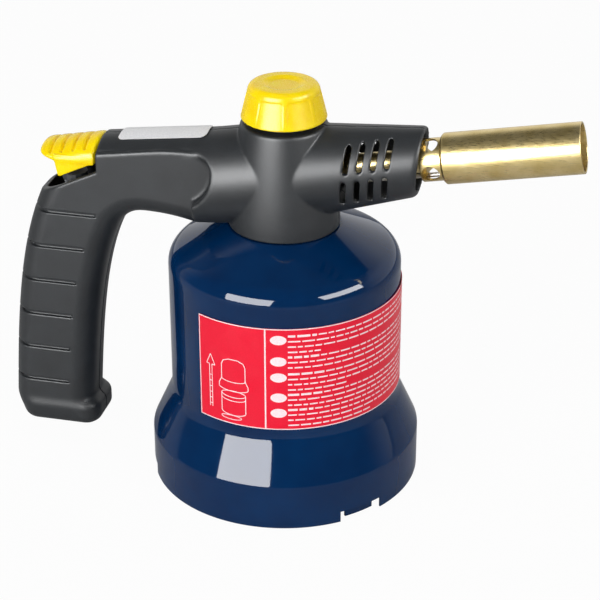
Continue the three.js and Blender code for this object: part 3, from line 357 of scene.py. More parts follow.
def spaced(start: float, end: float, step: float, fine: Sequence[tuple[float, float, float]] = ()) -> Array:
    """Gives the lines of a measuring grid, closer together in some zones.

    Args:
        start: First place.
        end: Last place.
        step: Usual spacing.
        fine: (from, to, spacing) of each closer zone.

    Returns:
        The places, in rising order.
    """
    places = [start]
    while places[-1] < end:
        here = places[-1]
        pace = step
        for low, high, close in fine:
            if low <= here < high:
                pace = close
            elif here < low < here + pace:
                pace = max(low - here, close)
        places.append(here + pace)
    return np.array(places, dtype=np.float32)


class Outline:
    """Signed distances to a closed outline in the X-Z plane, kept on a fine grid."""

    def __init__(self, points: Sequence[Point2], reach: float = 30.0, pitch: float = 0.4) -> None:
        """Measures the distances.

        Args:
            points: The outline, in millimetres.
            reach: How far the grid runs past the outline.
            pitch: Spacing of the grid.
        """
        corners = np.array(points, dtype=np.float32)
        self.low = corners.min(0) - reach
        self.pitch = pitch
        count = np.ceil((corners.max(0) + reach - self.low) / pitch).astype(int) + 1
        x = (self.low[0] + np.arange(count[0]) * pitch).astype(np.float32)[:, None]
        z = (self.low[1] + np.arange(count[1]) * pitch).astype(np.float32)[None, :]
        best = np.full((count[0], count[1]), 1e9, dtype=np.float32)
        inside = np.zeros(best.shape, dtype=bool)
        for (ax, az), (bx, bz) in zip(corners, np.roll(corners, -1, axis=0)):
            run, rise = bx - ax, bz - az
            length = run * run + rise * rise
            if length < 1e-9:
                continue
            share = np.clip(((x - ax) * run + (z - az) * rise) / length, 0.0, 1.0)
            gap = (x - ax - share * run) ** 2 + (z - az - share * rise) ** 2
            best = np.minimum(best, gap)
            if az != bz:
                crossing = ((az > z) != (bz > z)) & (x < run * (z - az) / rise + ax)
                inside ^= crossing
        self.field = np.sqrt(best) * np.where(inside, -1.0, 1.0).astype(np.float32)

    def at(self, x: Array, z: Array) -> Array:
        """Gives the distance at places X and Z, negative inside."""
        i = np.clip((x - self.low[0]) / self.pitch, 0.0, self.field.shape[0] - 1.001)
        k = np.clip((z - self.low[1]) / self.pitch, 0.0, self.field.shape[1] - 1.001)
        i0, k0 = i.astype(np.int32), k.astype(np.int32)
        u, v = i - i0, k - k0
        near = self.field[i0, k0] * (1 - v) + self.field[i0, k0 + 1] * v
        far = self.field[i0 + 1, k0] * (1 - v) + self.field[i0 + 1, k0 + 1] * v
        return near * (1 - u) + far * u


class Skin:
    """Wraps a mesh round a distance field, one vertex in each grid cell that the surface crosses."""

    EDGES = [
        ((0, 0, 0), 0), ((0, 1, 0), 0), ((0, 0, 1), 0), ((0, 1, 1), 0),
        ((0, 0, 0), 1), ((1, 0, 0), 1), ((0, 0, 1), 1), ((1, 0, 1), 1),
        ((0, 0, 0), 2), ((1, 0, 0), 2), ((0, 1, 0), 2), ((1, 1, 0), 2),
    ]
    PROBE = 0.04  # mm between the places where the field's slope is measured
    ROUNDS = 3
    FLATTEST = 0.25  # least squared slope that a step is divided by
    LONGEST = 0.25  # mm that a vertex moves at most in one round

    def __init__(self, distance: Field, lines: tuple[Array, Array, Array]) -> None:
        """Keeps the field and the grid.

        Args:
            distance: Signed distance at X, Y and Z, negative inside.
            lines: The grid's places along X, Y and Z.
        """
        self.distance = distance
        self.lines = lines

    def mesh(self) -> tuple[Array, Array]:
        """Gives the vertices and the four-sided faces."""
        xs, ys, zs = self.lines
        field = self.distance(xs[:, None, None], ys[None, :, None], zs[None, None, :]).astype(np.float32)
        inside = field < 0
        cells = tuple(n - 1 for n in field.shape)
        total = np.zeros(cells, dtype=np.int8)
        for a, b, c in np.ndindex(2, 2, 2):
            total += inside[a:a + cells[0], b:b + cells[1], c:c + cells[2]]
        i, j, k = np.nonzero((total > 0) & (total < 8))
        number = np.full(total.shape, -1, dtype=np.int64)
        number[i, j, k] = np.arange(len(i))
        points = self._middles(field, i, j, k)
        faces = self._faces(inside, number)
        return self._settled(points), faces

    def _middles(self, field: Array, i: Array, j: Array, k: Array) -> Array:
        """Gives the mean of the places where the surface crosses each cell's edges."""
        xs, ys, zs = self.lines
        total = np.zeros((len(i), 3))
        crossings = np.zeros(len(i))
        for corner, axis in self.EDGES:
            a = [i + corner[0], j + corner[1], k + corner[2]]
            b = [place.copy() for place in a]
            b[axis] += 1
            here = field[a[0], a[1], a[2]].astype(np.float64)
            there = field[b[0], b[1], b[2]].astype(np.float64)
            hit = (here < 0) != (there < 0)
            share = np.where(hit, here / np.where(hit, here - there, 1.0), 0.0)
            start = np.stack([xs[a[0]], ys[a[1]], zs[a[2]]], axis=1)
            end = np.stack([xs[b[0]], ys[b[1]], zs[b[2]]], axis=1)
            total += np.where(hit[:, None], start + (end - start) * share[:, None], 0.0)
            crossings += hit
        return total / crossings[:, None]

    def _faces(self, inside: Array, number: Array) -> Array:
        """Joins the four cells round each grid edge that the surface crosses."""
        faces = []
        for axis in range(3):
            near = np.moveaxis(inside, axis, 0)
            cells = np.moveaxis(number, axis, 0)
            if axis == 1:
                near, cells = np.swapaxes(near, 1, 2), np.swapaxes(cells, 1, 2)
            a, b = near[:-1, 1:-1, 1:-1], near[1:, 1:-1, 1:-1]
            for leaving in (True, False):
                hit = (a & ~b) if leaving else (~a & b)
                n, p, q = np.nonzero(hit)
                ring = [cells[n, p, q], cells[n, p + 1, q], cells[n, p + 1, q + 1], cells[n, p, q + 1]]
                faces.append(np.stack(ring if leaving else ring[::-1], axis=1))
        return np.concatenate(faces)

    def _settled(self, points: Array) -> Array:
        """Moves the vertices onto the surface along the field's slope."""
        for _ in range(self.ROUNDS):
            x, y, z = points.T
            value = self.distance(x, y, z)
            slope = np.stack([
                self.distance(x + self.PROBE, y, z) - value,
                self.distance(x, y + self.PROBE, z) - value,
                self.distance(x, y, z + self.PROBE) - value,
            ], axis=1) / self.PROBE
            size = np.maximum((slope * slope).sum(1), self.FLATTEST)
            step = slope * (value / size)[:, None]
            points = points - np.clip(step, -self.LONGEST, self.LONGEST)
        return points


# Materials


def colour(code: str) -> tuple[float, float, float, float]:
    """Turns an sRGB hex value into the linear colour that the shader takes."""
    parts = [int(code[n:n + 2], 16) / 255 for n in (1, 3, 5)]
    linear = [c / 12.92 if c <= 0.04045 else ((c + 0.055) / 1.055) ** 2.4 for c in parts]
    return (linear[0], linear[1], linear[2], 1.0)


def add_node(
    tree: Tree,
    kind: str,
    settings: dict[str | int, Any] | None = None,
    links: dict[str | int, Socket] | None = None,
) -> Node:
    """Adds one node with its settings and its incoming links.

    Args:
        tree: The node tree.
        kind: The node's type name.
        settings: Values by property name, or by the name or number of an input.
        links: Outgoing sockets of other nodes, by the name or number of the input that each feeds.

    Returns:
        The node.
    """
    node = tree.nodes.new(kind)
    for key, value in (settings or {}).items():
        if isinstance(key, str) and hasattr(node, key):
            setattr(node, key, value)
        else:
            node.inputs[key].default_value = value
    for key, socket in (links or {}).items():
        tree.links.new(socket, node.inputs[key])
    return node


def place_in_mm(tree: Tree, stretch: Sequence[float] = (1.0, 1.0, 1.0), turn_y: float = 0.0) -> Socket:
    """Adds the object's own coordinates in millimetres, stretched for a drawn or brushed grain."""
    where = add_node(tree, "ShaderNodeTexCoord")
    settings = {"Scale": [s / MM for s in stretch], "Rotation": (0.0, turn_y, 0.0)}
    return add_node(tree, "ShaderNodeMapping", settings, {"Vector": where.outputs["Object"]}).outputs[0]


def grain(tree: Tree, where: Socket, size_mm: float, detail: float = 2.0) -> Socket:
    """Adds a noise whose features are about size_mm across."""
    settings = {"Scale": 1 / size_mm, "Detail": detail}
    return add_node(tree, "ShaderNodeTexNoise", settings, {"Vector": where}).outputs[0]


def spread(tree: Tree, value: Socket, low: float, high: float) -> Socket:
    """Maps a noise of 0.3 to 0.7 to a range."""
    settings = {"From Min": 0.3, "From Max": 0.7, "To Min": low, "To Max": high}
    return add_node(tree, "ShaderNodeMapRange", settings, {"Value": value}).outputs[0]


def mottled(tree: Tree, noise: Socket, dark: str, light: str) -> Socket:
    """Mixes two colours by a noise."""
    settings = {"data_type": "RGBA", 6: colour(dark), 7: colour(light)}
    return add_node(tree, "ShaderNodeMix", settings, {0: spread(tree, noise, 0.0, 1.0)}).outputs[2]


def relief(tree: Tree, height: Socket, depth_mm: float, strength: float) -> Socket:
    """Adds a bump of that depth."""
    settings = {"Strength": strength, "Distance": depth_mm * MM}
    return add_node(tree, "ShaderNodeBump", settings, {"Height": height}).outputs[0]


@dataclass(frozen=True)
class Finish:
    """A finish: its slot, its two tones, its range of roughness, and whether it is a metal."""

    slot: str = ""
    dark: str = ""
    light: str = ""
    roughness: Point2 = (0.5, 0.5)
    metal: bool = False
    ior: float = 1.5  # metals keep the shader's own

    def material(self) -> bpy.types.Material:
        """Gives the finish's material, made once."""
        name = type(self).__name__ + "_" + self.slot
        found = bpy.data.materials.get(name)
        if found:
            return found
        material = bpy.data.materials.new(name)
        material.use_nodes = True
        tree = material.node_tree
        tree.nodes.clear()
        shader = self.shader(tree)
        add_node(tree, "ShaderNodeOutputMaterial", links={"Surface": shader.outputs[0]})
        return material

    def shader(self, tree: Tree) -> Node:
        """Adds the finish's nodes and gives its shader."""
        raise NotImplementedError

    def principled(
        self, tree: Tree, tone: Socket, gloss: Socket, bump: Socket, more: dict[str, Any] | None = None
    ) -> Node:
        """Adds the shader that a finish ends in.

        Args:
            tree: The node tree.
            tone: Noise that mixes the two tones.
            gloss: Noise that moves the roughness through its range.
            bump: The bump's output.
            more: Further settings of the shader.

        Returns:
            The shader.
        """
        settings = {"Metallic": 1.0} if self.metal else {"IOR": self.ior}
        links = {
            "Base Color": mottled(tree, tone, self.dark, self.light),
            "Roughness": spread(tree, gloss, *self.roughness),
            "Normal": bump,
        }
        return add_node(tree, "ShaderNodeBsdfPrincipled", {**settings, **(more or {})}, links)

    def dress(self, piece: Piece) -> None:
        """Puts the finish on a piece."""
        piece.data.materials.clear()
        piece.data.materials.append(self.material())


@dataclass(frozen=True)
class MouldedNylon(Finish):
    """Charcoal glass-filled nylon from a spark-eroded mould: a fine even grain softens every highlight."""

    slot: str = "body_plastic"
    dark: str = "#1e2022"
    light: str = "#292c2f"
    roughness: Point2 = (0.37, 0.48)
    ior: float = 1.42
    grain_mm: float = 0.45  # the real pits are 0.1 mm and are drawn coarser so that they show
    flow_mm: float = 9.0
    flow_share: float = 0.45
    pit_mm: float = 0.03

    def shader(self, tree: Tree) -> Node:
        """Adds the speckled colour and the pitted bump."""
        where = place_in_mm(tree)
        pits = grain(tree, where, self.grain_mm, 3.0)
        flow = grain(tree, where, self.flow_mm)
        tone = add_node(tree, "ShaderNodeMix", {0: self.flow_share}, {2: pits, 3: flow}).outputs[0]
        return self.principled(tree, tone, pits, relief(tree, pits, self.pit_mm, 0.5))


@dataclass(frozen=True)
class GlossyAbs(Finish):
    """Yellow ABS from a polished mould: a clean bright colour, sharp highlights and a faint waviness."""

    slot: str = "yellow_plastic"
    dark: str = "#fcd400"
    light: str = "#ffe000"
    roughness: Point2 = (0.22, 0.3)
    ior: float = 1.32
    wave_mm: float = 6.0
    fine_mm: float = 0.5
    wave_depth_mm: float = 0.02
    scatter: float = 0.12
    scatter_mm: float = 2.0

    def shader(self, tree: Tree) -> Node:
        """Adds the colour, a slow waviness and a little light that scatters inside."""
        where = place_in_mm(tree)
        wave = grain(tree, where, self.wave_mm, 1.0)
        fine = grain(tree, where, self.fine_mm)
        inside = {
            "Subsurface Weight": self.scatter,
            "Subsurface Radius": (1.0, 0.8, 0.2),
            "Subsurface Scale": self.scatter_mm * MM,
        }
        return self.principled(tree, wave, fine, relief(tree, wave, self.wave_depth_mm, 0.4), inside)


@dataclass(frozen=True)
class StoveEnamel(Finish):
    """Navy stove enamel on drawn steel: a deep colour with a hard even gloss that mirrors the windows."""

    slot: str = "bell_paint"
    dark: str = "#00234a"
    light: str = "#002a54"
    roughness: Point2 = (0.03, 0.06)
    ior: float = 1.35
    peel_mm: float = 2.4
    peel_depth_mm: float = 0.006
    cloud_mm: float = 18.0

    def shader(self, tree: Tree) -> Node:
        """Adds the deep colour and a trace of orange peel."""
        where = place_in_mm(tree)
        peel = grain(tree, where, self.peel_mm, 1.0)
        cloud = grain(tree, where, self.cloud_mm)
        return self.principled(tree, cloud, cloud, relief(tree, peel, self.peel_depth_mm, 0.2))


@dataclass(frozen=True)
class DrawnBrass(Finish):
    """Brass tube, drawn and turned bright: fine lines along the draw stretch each highlight."""

    slot: str = "brass"
    dark: str = "#cdb678"
    light: str = "#dfcb95"
    roughness: Point2 = (0.25, 0.37)
    metal: bool = True
    stretch: float = 0.04
    line_mm: float = 0.35
    line_depth_mm: float = 0.006
    tarnish_mm: float = 7.0

    def shader(self, tree: Tree) -> Node:
        """Adds the drawn lines and a slight tarnish."""
        where = place_in_mm(tree, (self.stretch, 1.0, 1.0), BURNER_TILT)
        lines = grain(tree, where, self.line_mm, 3.0)
        tarnish = grain(tree, place_in_mm(tree), self.tarnish_mm, 3.0)
        return self.principled(tree, tarnish, lines, relief(tree, lines, self.line_depth_mm, 0.5))


@dataclass(frozen=True)
class PlatedSteel(Finish):
    """Zinc-plated mild steel: a cool grey metal with a soft, slightly cloudy shine."""

    slot: str = "steel"
    dark: str = "#8d9094"
    light: str = "#b9bcc0"
    roughness: Point2 = (0.26, 0.4)
    metal: bool = True
    cloud_mm: float = 2.5
    scratch_mm: float = 0.3
    scratch_depth_mm: float = 0.01

    def shader(self, tree: Tree) -> Node:
        """Adds the cloudy plating and fine scratches."""
        where = place_in_mm(tree)
        cloud = grain(tree, where, self.cloud_mm, 3.0)
        fine = grain(tree, where, self.scratch_mm)
        return self.principled(tree, cloud, cloud, relief(tree, fine, self.scratch_depth_mm, 0.3))


@dataclass(frozen=True)
class PrintedFilm(Finish):
    """Self-adhesive vinyl film, printed and laminated: one flat ink colour under an even gloss."""

    slot: str = "red_sticker"
    dark: str = "#e6002a"
    light: str = "#ec0030"
    roughness: Point2 = (0.3, 0.38)
    ior: float = 1.4
    dot_mm: float = 0.6
    ripple_mm: float = 5.0
    ripple_depth_mm: float = 0.002

    def shader(self, tree: Tree) -> Node:
        """Adds the ink's slight unevenness and the film's faint ripple."""
        where = place_in_mm(tree)
        dots = grain(tree, where, self.dot_mm)
        ripple = grain(tree, where, self.ripple_mm, 1.0)
        return self.principled(tree, dots, ripple, relief(tree, ripple, self.ripple_depth_mm, 0.1))


@dataclass(frozen=True)
class SilverFilm(PrintedFilm):
    """Silver-grey polyester film with a satin face: pale and even."""

    slot: str = "silver_sticker"
    dark: str = "#dadadc"
    light: str = "#e8e8e9"
    roughness: Point2 = (0.34, 0.42)


@dataclass(frozen=True)
class WhiteInk(PrintedFilm):
    """White screen ink on the red film: nearly opaque, so a little pink shows through."""

    dark: str = "#f6d9de"
    light: str = "#fbeaec"
    roughness: Point2 = (0.36, 0.44)


@dataclass(frozen=True)
class NitrileRubber(Finish):
    """Black nitrile rubber, moulded: dull, with a fine bloom."""

    slot: str = "rubber"
    dark: str = "#161616"
    light: str = "#242424"
    roughness: Point2 = (0.64, 0.76)
    ior: float = 1.52
    bloom_mm: float = 1.2
    bloom_depth_mm: float = 0.02

    def shader(self, tree: Tree) -> Node:
        """Adds the bloom and a fine bump."""
        bloom = grain(tree, place_in_mm(tree), self.bloom_mm, 3.0)
        return self.principled(tree, bloom, bloom, relief(tree, bloom, self.bloom_depth_mm, 0.4))


@dataclass(frozen=True)
class GlazedCeramic(NitrileRubber):
    """White glazed steatite: smooth and shiny with a faint cream tone."""

    slot: str = "ceramic"
    dark: str = "#e6e0d4"
    light: str = "#f0ebe0"
    roughness: Point2 = (0.14, 0.26)


@dataclass(frozen=True)
class LacqueredTin(NitrileRubber):
    """Blue lacquered tinplate: even and glossy."""

    slot: str = "cartridge_paint"
    dark: str = "#24579a"
    light: str = "#2c65ac"
    roughness: Point2 = (0.2, 0.32)


@dataclass(frozen=True)
class MouldedHousing(NitrileRubber):
    """Black moulded igniter housing: satin."""

    slot: str = "igniter_plastic"
    dark: str = "#1c2024"
    light: str = "#272c31"
    roughness: Point2 = (0.44, 0.56)


@dataclass(frozen=True)
class BlackLead(NitrileRubber):
    """Black silicone insulation of the ignition lead."""

    slot: str = "wire_black"
    roughness: Point2 = (0.49, 0.61)


@dataclass(frozen=True)
class GreenLead(BlackLead):
    """Green silicone insulation of the earth lead."""

    slot: str = "wire_green"
    dark: str = "#256b33"
    light: str = "#2f8040"


# Camera, floor and light


@dataclass(frozen=True)
class Softbox:
    """One rectangular light that faces the lamp.

    Its bearing is in degrees round from the near side towards the burner, and its rise in degrees above
    the table. Its reach, width and height are in metres.
    """

    name: str
    bearing: float
    rise: float
    reach: float
    size: Point2
    watts: float
    use: Light

    def build(self, aim: Vector) -> None:
        """Hangs the light so that it faces a place."""
        data = bpy.data.lights.new(self.name, "AREA")
        data.shape = "RECTANGLE"
        data.size, data.size_y = self.size
        data.energy = self.watts
        light = bpy.data.objects.new(self.name, data)
        bpy.context.scene.collection.objects.link(light)
        b, r = math.radians(self.bearing), math.radians(self.rise)
        away = Vector((math.sin(b) * math.cos(r), -math.cos(b) * math.cos(r), math.sin(r)))
        turn = (-away).to_track_quat("-Z", "Y").to_matrix().to_4x4()
        light.matrix_world = Matrix.Translation(aim + away * self.reach) @ turn
        light.visible_diffuse = self.use is Light.SOFT
        light.visible_glossy = self.use is Light.MIRRORED


@dataclass
class Studio:
    """Camera, pale floor and soft light."""

    camera_mm: tuple[float, float, float] = (167.75, -674.95, 433.6)
    forward: tuple[float, float, float] = (-0.2073, 0.8645, -0.4579)
    roll: float = -0.00124
    lens_mm: float = 113.67
    sensor_mm: float = 36.0
    far_m: float = 50.0
    floor_m: float = 6.0
    floor_dark: str = "#cccccc"
    floor_light: str = "#d2d2d2"
    speck_mm: float = 4.0
    floor_white: float = 0.96  # share of plain white in what the camera sees of the floor
    dim: tuple[float, ...] = (0.12, 0.122, 0.126, 1.0)
    bright: tuple[float, ...] = (1.0, 1.0, 1.0, 1.0)
    back_wall: Point2 = (-0.1, 0.6)  # from and to: how far back a direction has to point
    ceiling: Point2 = (0.45, 0.85)  # from and to: how far up
    aim_m: tuple[float, float, float] = (0.0, 0.0, 0.08)
    softboxes: tuple[Softbox, ...] = (
        Softbox("window_left", -21.0, 17.0, 1.5, (1.2, 0.78), 64.0, Light.MIRRORED),
        Softbox("window_right", 73.0, 28.0, 1.5, (1.15, 0.5), 38.0, Light.MIRRORED),
        Softbox("front_left", -30.0, 16.0, 1.6, (1.0, 0.8), 19.0, Light.SOFT),
        Softbox("front_right", 55.0, 18.0, 1.6, (1.0, 0.8), 10.0, Light.SOFT),
        Softbox("overhead", 0.0, 84.0, 1.6, (1.0, 0.8), 6.5, Light.SOFT),
    )

    def camera(self) -> None:
        """Places the camera at the photograph's angle."""
        data = bpy.data.cameras.new("camera")
        data.lens = self.lens_mm
        data.sensor_width = self.sensor_mm
        data.clip_end = self.far_m
        camera = bpy.data.objects.new("camera", data)
        bpy.context.scene.collection.objects.link(camera)
        turn = Vector(self.forward).to_track_quat("-Z", "Y").to_matrix().to_4x4()
        camera.matrix_world = (
            Matrix.Translation(Vector(self.camera_mm) * MM) @ turn @ Matrix.Rotation(self.roll, 4, "Z")
        )
        bpy.context.scene.camera = camera

    def floor(self) -> None:
        """Lays the pale floor, which keeps the lamp's shadow but shows nearly white to the camera."""
        half = self.floor_m / 2
        mesh = bpy.data.meshes.new("floor")
        corners = [(-half, -half, 0), (half, -half, 0), (half, half, 0), (-half, half, 0)]
        mesh.from_pydata(corners, [], [(0, 1, 2, 3)])
        floor = bpy.data.objects.new("floor", mesh)
        bpy.context.scene.collection.objects.link(floor)
        material = bpy.data.materials.new("white_table")
        material.use_nodes = True
        tree = material.node_tree
        tree.nodes.clear()
        speck = grain(tree, place_in_mm(tree), self.speck_mm)
        shade = mottled(tree, speck, self.floor_dark, self.floor_light)
        matt = add_node(tree, "ShaderNodeBsdfDiffuse", links={"Color": shade})
        white = add_node(tree, "ShaderNodeEmission", {"Strength": 1.0, "Color": self.bright})
        seen = add_node(tree, "ShaderNodeLightPath").outputs["Is Camera Ray"]
        share = add_node(tree, "ShaderNodeMath", {"operation": "MULTIPLY", 1: self.floor_white}, {0: seen})
        links = {0: share.outputs[0], 1: matt.outputs[0], 2: white.outputs[0]}
        mix = add_node(tree, "ShaderNodeMixShader", links=links)
        add_node(tree, "ShaderNodeOutputMaterial", links={"Surface": mix.outputs[0]})
        mesh.materials.append(material)

    def _faded(
        self, tree: Tree, value: Socket, ends: Point2, settings: dict[int, Any], start: Socket | None = None
    ) -> Socket:
        """Mixes one colour into another as a value rises between two ends.

        Args:
            tree: The world's node tree.
            value: The value.
            ends: Where the mix starts and where it is whole.
            settings: Fixed colours of the mix, by the number of its input.
            start: The socket that gives the first colour, where it isn't fixed.

        Returns:
            The mixed colour.
        """
        step = {"interpolation_type": "SMOOTHSTEP", "From Min": ends[0], "From Max": ends[1]}
        links = {0: add_node(tree, "ShaderNodeMapRange", step, {"Value": value}).outputs[0]}
        if start is not None:
            links[6] = start
        return add_node(tree, "ShaderNodeMix", {"data_type": "RGBA", **settings}, links).outputs[2]

    def world(self) -> None:
        """Sets a room that is bright behind the lamp, dim in front and overhead, and white to the camera."""
        world = bpy.data.worlds.new("studio")
        bpy.context.scene.world = world
        world.use_nodes = True
        tree = world.node_tree
        tree.nodes.clear()
        where = add_node(tree, "ShaderNodeTexCoord").outputs["Generated"]
        parts = add_node(tree, "ShaderNodeSeparateXYZ", links={0: where}).outputs
        sides = self._faded(tree, parts["Y"], self.back_wall, {6: self.dim, 7: self.bright})
        shade = self._faded(tree, parts["Z"], self.ceiling, {7: self.dim}, sides)
        room = add_node(tree, "ShaderNodeBackground", {"Strength": 1.0}, {"Color": shade})
        white = add_node(tree, "ShaderNodeBackground", {"Strength": 1.0, "Color": self.bright})
        seen = add_node(tree, "ShaderNodeLightPath").outputs["Is Camera Ray"]
        links = {0: seen, 1: room.outputs[0], 2: white.outputs[0]}
        mix = add_node(tree, "ShaderNodeMixShader", links=links)
        add_node(tree, "ShaderNodeOutputWorld", links={"Surface": mix.outputs[0]})

    def build(self) -> None:
        """Sets up the whole studio."""
        self.camera()
        self.floor()
        self.world()
        for softbox in self.softboxes:
            softbox.build(Vector(self.aim_m))
        bpy.context.scene.view_settings.view_transform = "Standard"


# Moulded body


@dataclass
class Body:
    """The moulded head, shroud, spine and handle, in two halves.

    Places are in millimetres from the head's upright axis, X towards the burner's mouth and Z from the
    table. Slopes and leans are in degrees. The halves mirror each other, apart from the screws' wells in
    the far one.
    """

    # the hollow shell, its hub on the bell and the neck inside
    wall: float = 2.2
    seam: float = 0.15
    hub_foot: float = 22.5
    hub_head: float = 17.3
    hub_foot_height: float = 3.4
    hub_lift: float = 0.3
    neck_radius: float = 12.5
    neck_rise: float = 3.4
    neck_bore: float = 8.5
    plate_lift: float = 0.6
    floor_bore: float = 11.2
    floor_top: float = 6.0
    # tube and shroud round the burner's axis, with places along it
    tube_radius: float = 20.0
    tube_start: float = -38.0
    tube_taper_start: float = -1.0
    tube_floor: float = 113.6
    tube_crest: float = -30.0
    shroud_radius: float = 14.2
    shroud_place: float = 51.8
    rim_place: float = 57.0
    rim_lean: float = 4.5
    rim_round: float = 2.6
    # grip: half its thickness and width, how its edges round, its foot and its middle line
    half_thickness: float = 13.0
    edge_round: float = 9.0
    edge_round_depth: float = 10.0
    edge_scale: float = 9.5
    grip_half: float = 17.6
    grip_bottom: float = 10.5
    heel_round: float = 11.5
    grip_line: tuple[Point2, ...] = ((-102.0, 10.5), (-99.5, 45.0), (-97.5, 85.0), (-85.5, 111.0))
    inner: float = -10.0  # X where the grip's outline ends, well inside the hub
    # arch between grip and bell
    arch_top: float = 112.4
    arch_peak: float = -57.0
    arch_bend: float = -46.0
    arch_heel: Point2 = (-35.5, 109.6)
    arch_end: Point2 = (-23.8, 111.5)
    # toe at the grip's foot
    toe_front_reach: float = 4.0
    toe_length: float = 34.6
    toe_height: float = 10.8
    toe_corner: float = 7.0
    toe_round: float = 3.6
    # grooves across the grip, and how far they end from its edge
    groove_start: float = 31.5
    groove_pitch: float = 15.9
    groove_count: int = 6
    groove_width: float = 1.5
    groove_depth: float = 1.3
    groove_margin: float = 9.6
    top_groove_margin: float = 7.0
    # opening of the trigger's well
    front_wall: float = -75.0
    lip_level: float = 130.5
    lip_slope: float = 25.0
    # ledge beside the spine: its level at the front wall, and the bow with which it sinks past its bend
    ledge_level: float = 138.6
    ledge_slope: float = 8.4
    ledge_width: float = 1.8
    ledge_bend: float = -52.0
    ledge_bow: float = 0.0054
    ledge_chamfer: float = 0.8
    crest_start: float = 4.0  # how far under the ledge the cut between ledge and crest begins
    # spine
    spine_radius: float = 19.0
    spine_level: float = 142.8
    spine_slope: float = 6.8
    spine_sink: float = 4.0
    # flat panel on the handle's side, from the heel of its rounded end to its tip
    panel_tip: Point2 = (-26.0, 135.5)
    panel_heel: Point2 = (-33.9, 122.0)
    panel_top: float = -43.0
    panel_round: float = 2.2
    # slots in the shroud, in an upper and a lower row
    slot_count: int = 4
    slot_start: float = 28.2
    slot_pitch: float = 5.35
    slot_width: float = 2.2
    slot_length: float = 10.2
    upper_slot: float = 7.7
    lower_slot: float = 5.6
    # screws, with their bosses and wells
    boss_radius: float = 3.8
    sink_radius: float = 3.1
    screw_reach: float = 8.0
    screw_shares: Point2 = (0.15, 0.52)  # along the grip's middle line
    hub_screw: Point2 = (-24.5, 8.3)  # X, and height over the crown
    shroud_screw: Point2 = (22.2, -13.6)  # X, and height over the burner's axis
    arch_screw: Point2 = (-63.5, 127.5)
    # measuring grid
    grid: float = 0.75
    slot_grid: float = 0.4
    groove_grid: Point2 = (1.1, 0.22)  # reach on either side of a groove, and spacing
    seam_grid: float = 0.2
    x_ends: Point2 = (-121.0, 59.0)
    y_ends: Point2 = (-0.5, 23.6)
    z_ends: Point2 = (9.4, 160.0)

    def __post_init__(self) -> None:
        """Draws the outlines of the grip and of the flat panel."""
        self.grip = Outline(self._grip_outline())
        self.panel = Outline(self._panel_outline())
        self.taper = (self.tube_radius - self.shroud_radius) / (self.shroud_place - self.tube_taper_start)

    def line_point(self, share: float, side: float) -> Point2:
        """Gives a point beside the grip's middle line; side is towards the bell."""
        r = 1 - share
        ends = list(zip(*self.grip_line))
        x, z = (
            r**3 * a + 3 * r * r * share * b + 3 * r * share * share * c + share**3 * d
            for a, b, c, d in ends
        )
        tx, tz = (
            r * r * (b - a) + 2 * r * share * (c - b) + share * share * (d - c) for a, b, c, d in ends
        )
        size = math.hypot(tx, tz)
        return (x + tz / size * side, z - tx / size * side)

    def edge_at(self, level: float, side: float) -> float:
        """Gives X of the grip's edge at a height."""
        share = 0.0
        while self.line_point(share, side)[1] < level and share < 1.0:
            share += 1 / 200
        return self.line_point(share, side)[0]

    def _edge(self, side: float, low: float, steps: int = 60) -> list[Point2]:
        """Gives the grip's edge above a level, from its foot up."""
        points = [self.line_point(n / steps, side) for n in range(steps + 1)]
        return [point for point in points if point[1] > low]

    def _grip_outline(self) -> list[Point2]:
        """Gives the outline of grip and arch seen from the side."""
        ceiling = AXIS_LEVEL + self.tube_radius
        (cx, cz), (dx, dz) = self.grip_line[2:]
        lean = (dx - cx) / (dz - cz)
        back = self.line_point(1.0, -self.grip_half)
        front = self.line_point(1.0, self.grip_half)
        points = [(self.inner, ceiling), (back[0] + lean * (ceiling - back[1]), ceiling)]
        centre = self.grip_bottom + self.heel_round
        points += reversed(self._edge(-self.grip_half, centre + 0.5))
        foot, steps = self.edge_at(centre, -self.grip_half), 12
        for n in range(steps + 1):
            angle = math.pi + math.pi / 2 * n / steps
            x = foot + self.heel_round * (1 + math.cos(angle))
            points.append((x, centre + self.heel_round * math.sin(angle)))
        points.append((self.line_point(0.0, self.grip_half)[0], self.grip_bottom))
        points += self._edge(self.grip_half, self.grip_bottom + 1.0)
        bend = front[0] + lean * (self.arch_top - front[1])
        peak = (self.arch_peak, self.arch_top)
        points += swept_corner(front, (bend, self.arch_top), peak)
        points += swept_corner(peak, (self.arch_bend, self.arch_top), self.arch_heel)
        return points + [self.arch_end, (self.inner, self.arch_end[1])]

    def _ledge_end(self) -> float:
        """Gives the straight ledge's height over the top corner of the flat panel."""
        slope = math.tan(math.radians(self.ledge_slope))
        return self.ledge_level + (self.panel_top - self.front_wall) * slope

    def _panel_outline(self) -> list[Point2]:
        """Gives the outline of the handle's flat panel, whose rounded end runs into the tube."""
        ledge, foot = self._ledge_end(), CROWN_LEVEL - 7.0
        left = self.panel_top - self.tube_radius
        heel, heel_level = self.panel_heel
        tip, tip_level = self.panel_tip
        points = [(left, foot), (heel, foot), (heel, heel_level)]
        points += swept_corner((heel, heel_level), (tip, axis_level(heel)), (tip, tip_level))
        points += swept_corner((tip, tip_level), (tip, ledge), (self.panel_top, ledge))
        return points + [(left, ledge)]

    def _above(self, x: Array, z: Array, level: float, slope: float) -> Array:
        """Gives the height above a line that passes the trigger's front wall at a level."""
        a = math.radians(slope)
        return (z - level) * math.cos(a) - (x - self.front_wall) * math.sin(a)

    def _over_ledge(self, x: Array, z: Array) -> Array:
        """Gives the height above the ledge beside the spine, whose line bows down towards the hub."""
        bow = self.ledge_bow * np.maximum(x - self.ledge_bend, 0.0) ** 2
        return self._above(x, z + bow, self.ledge_level, self.ledge_slope)

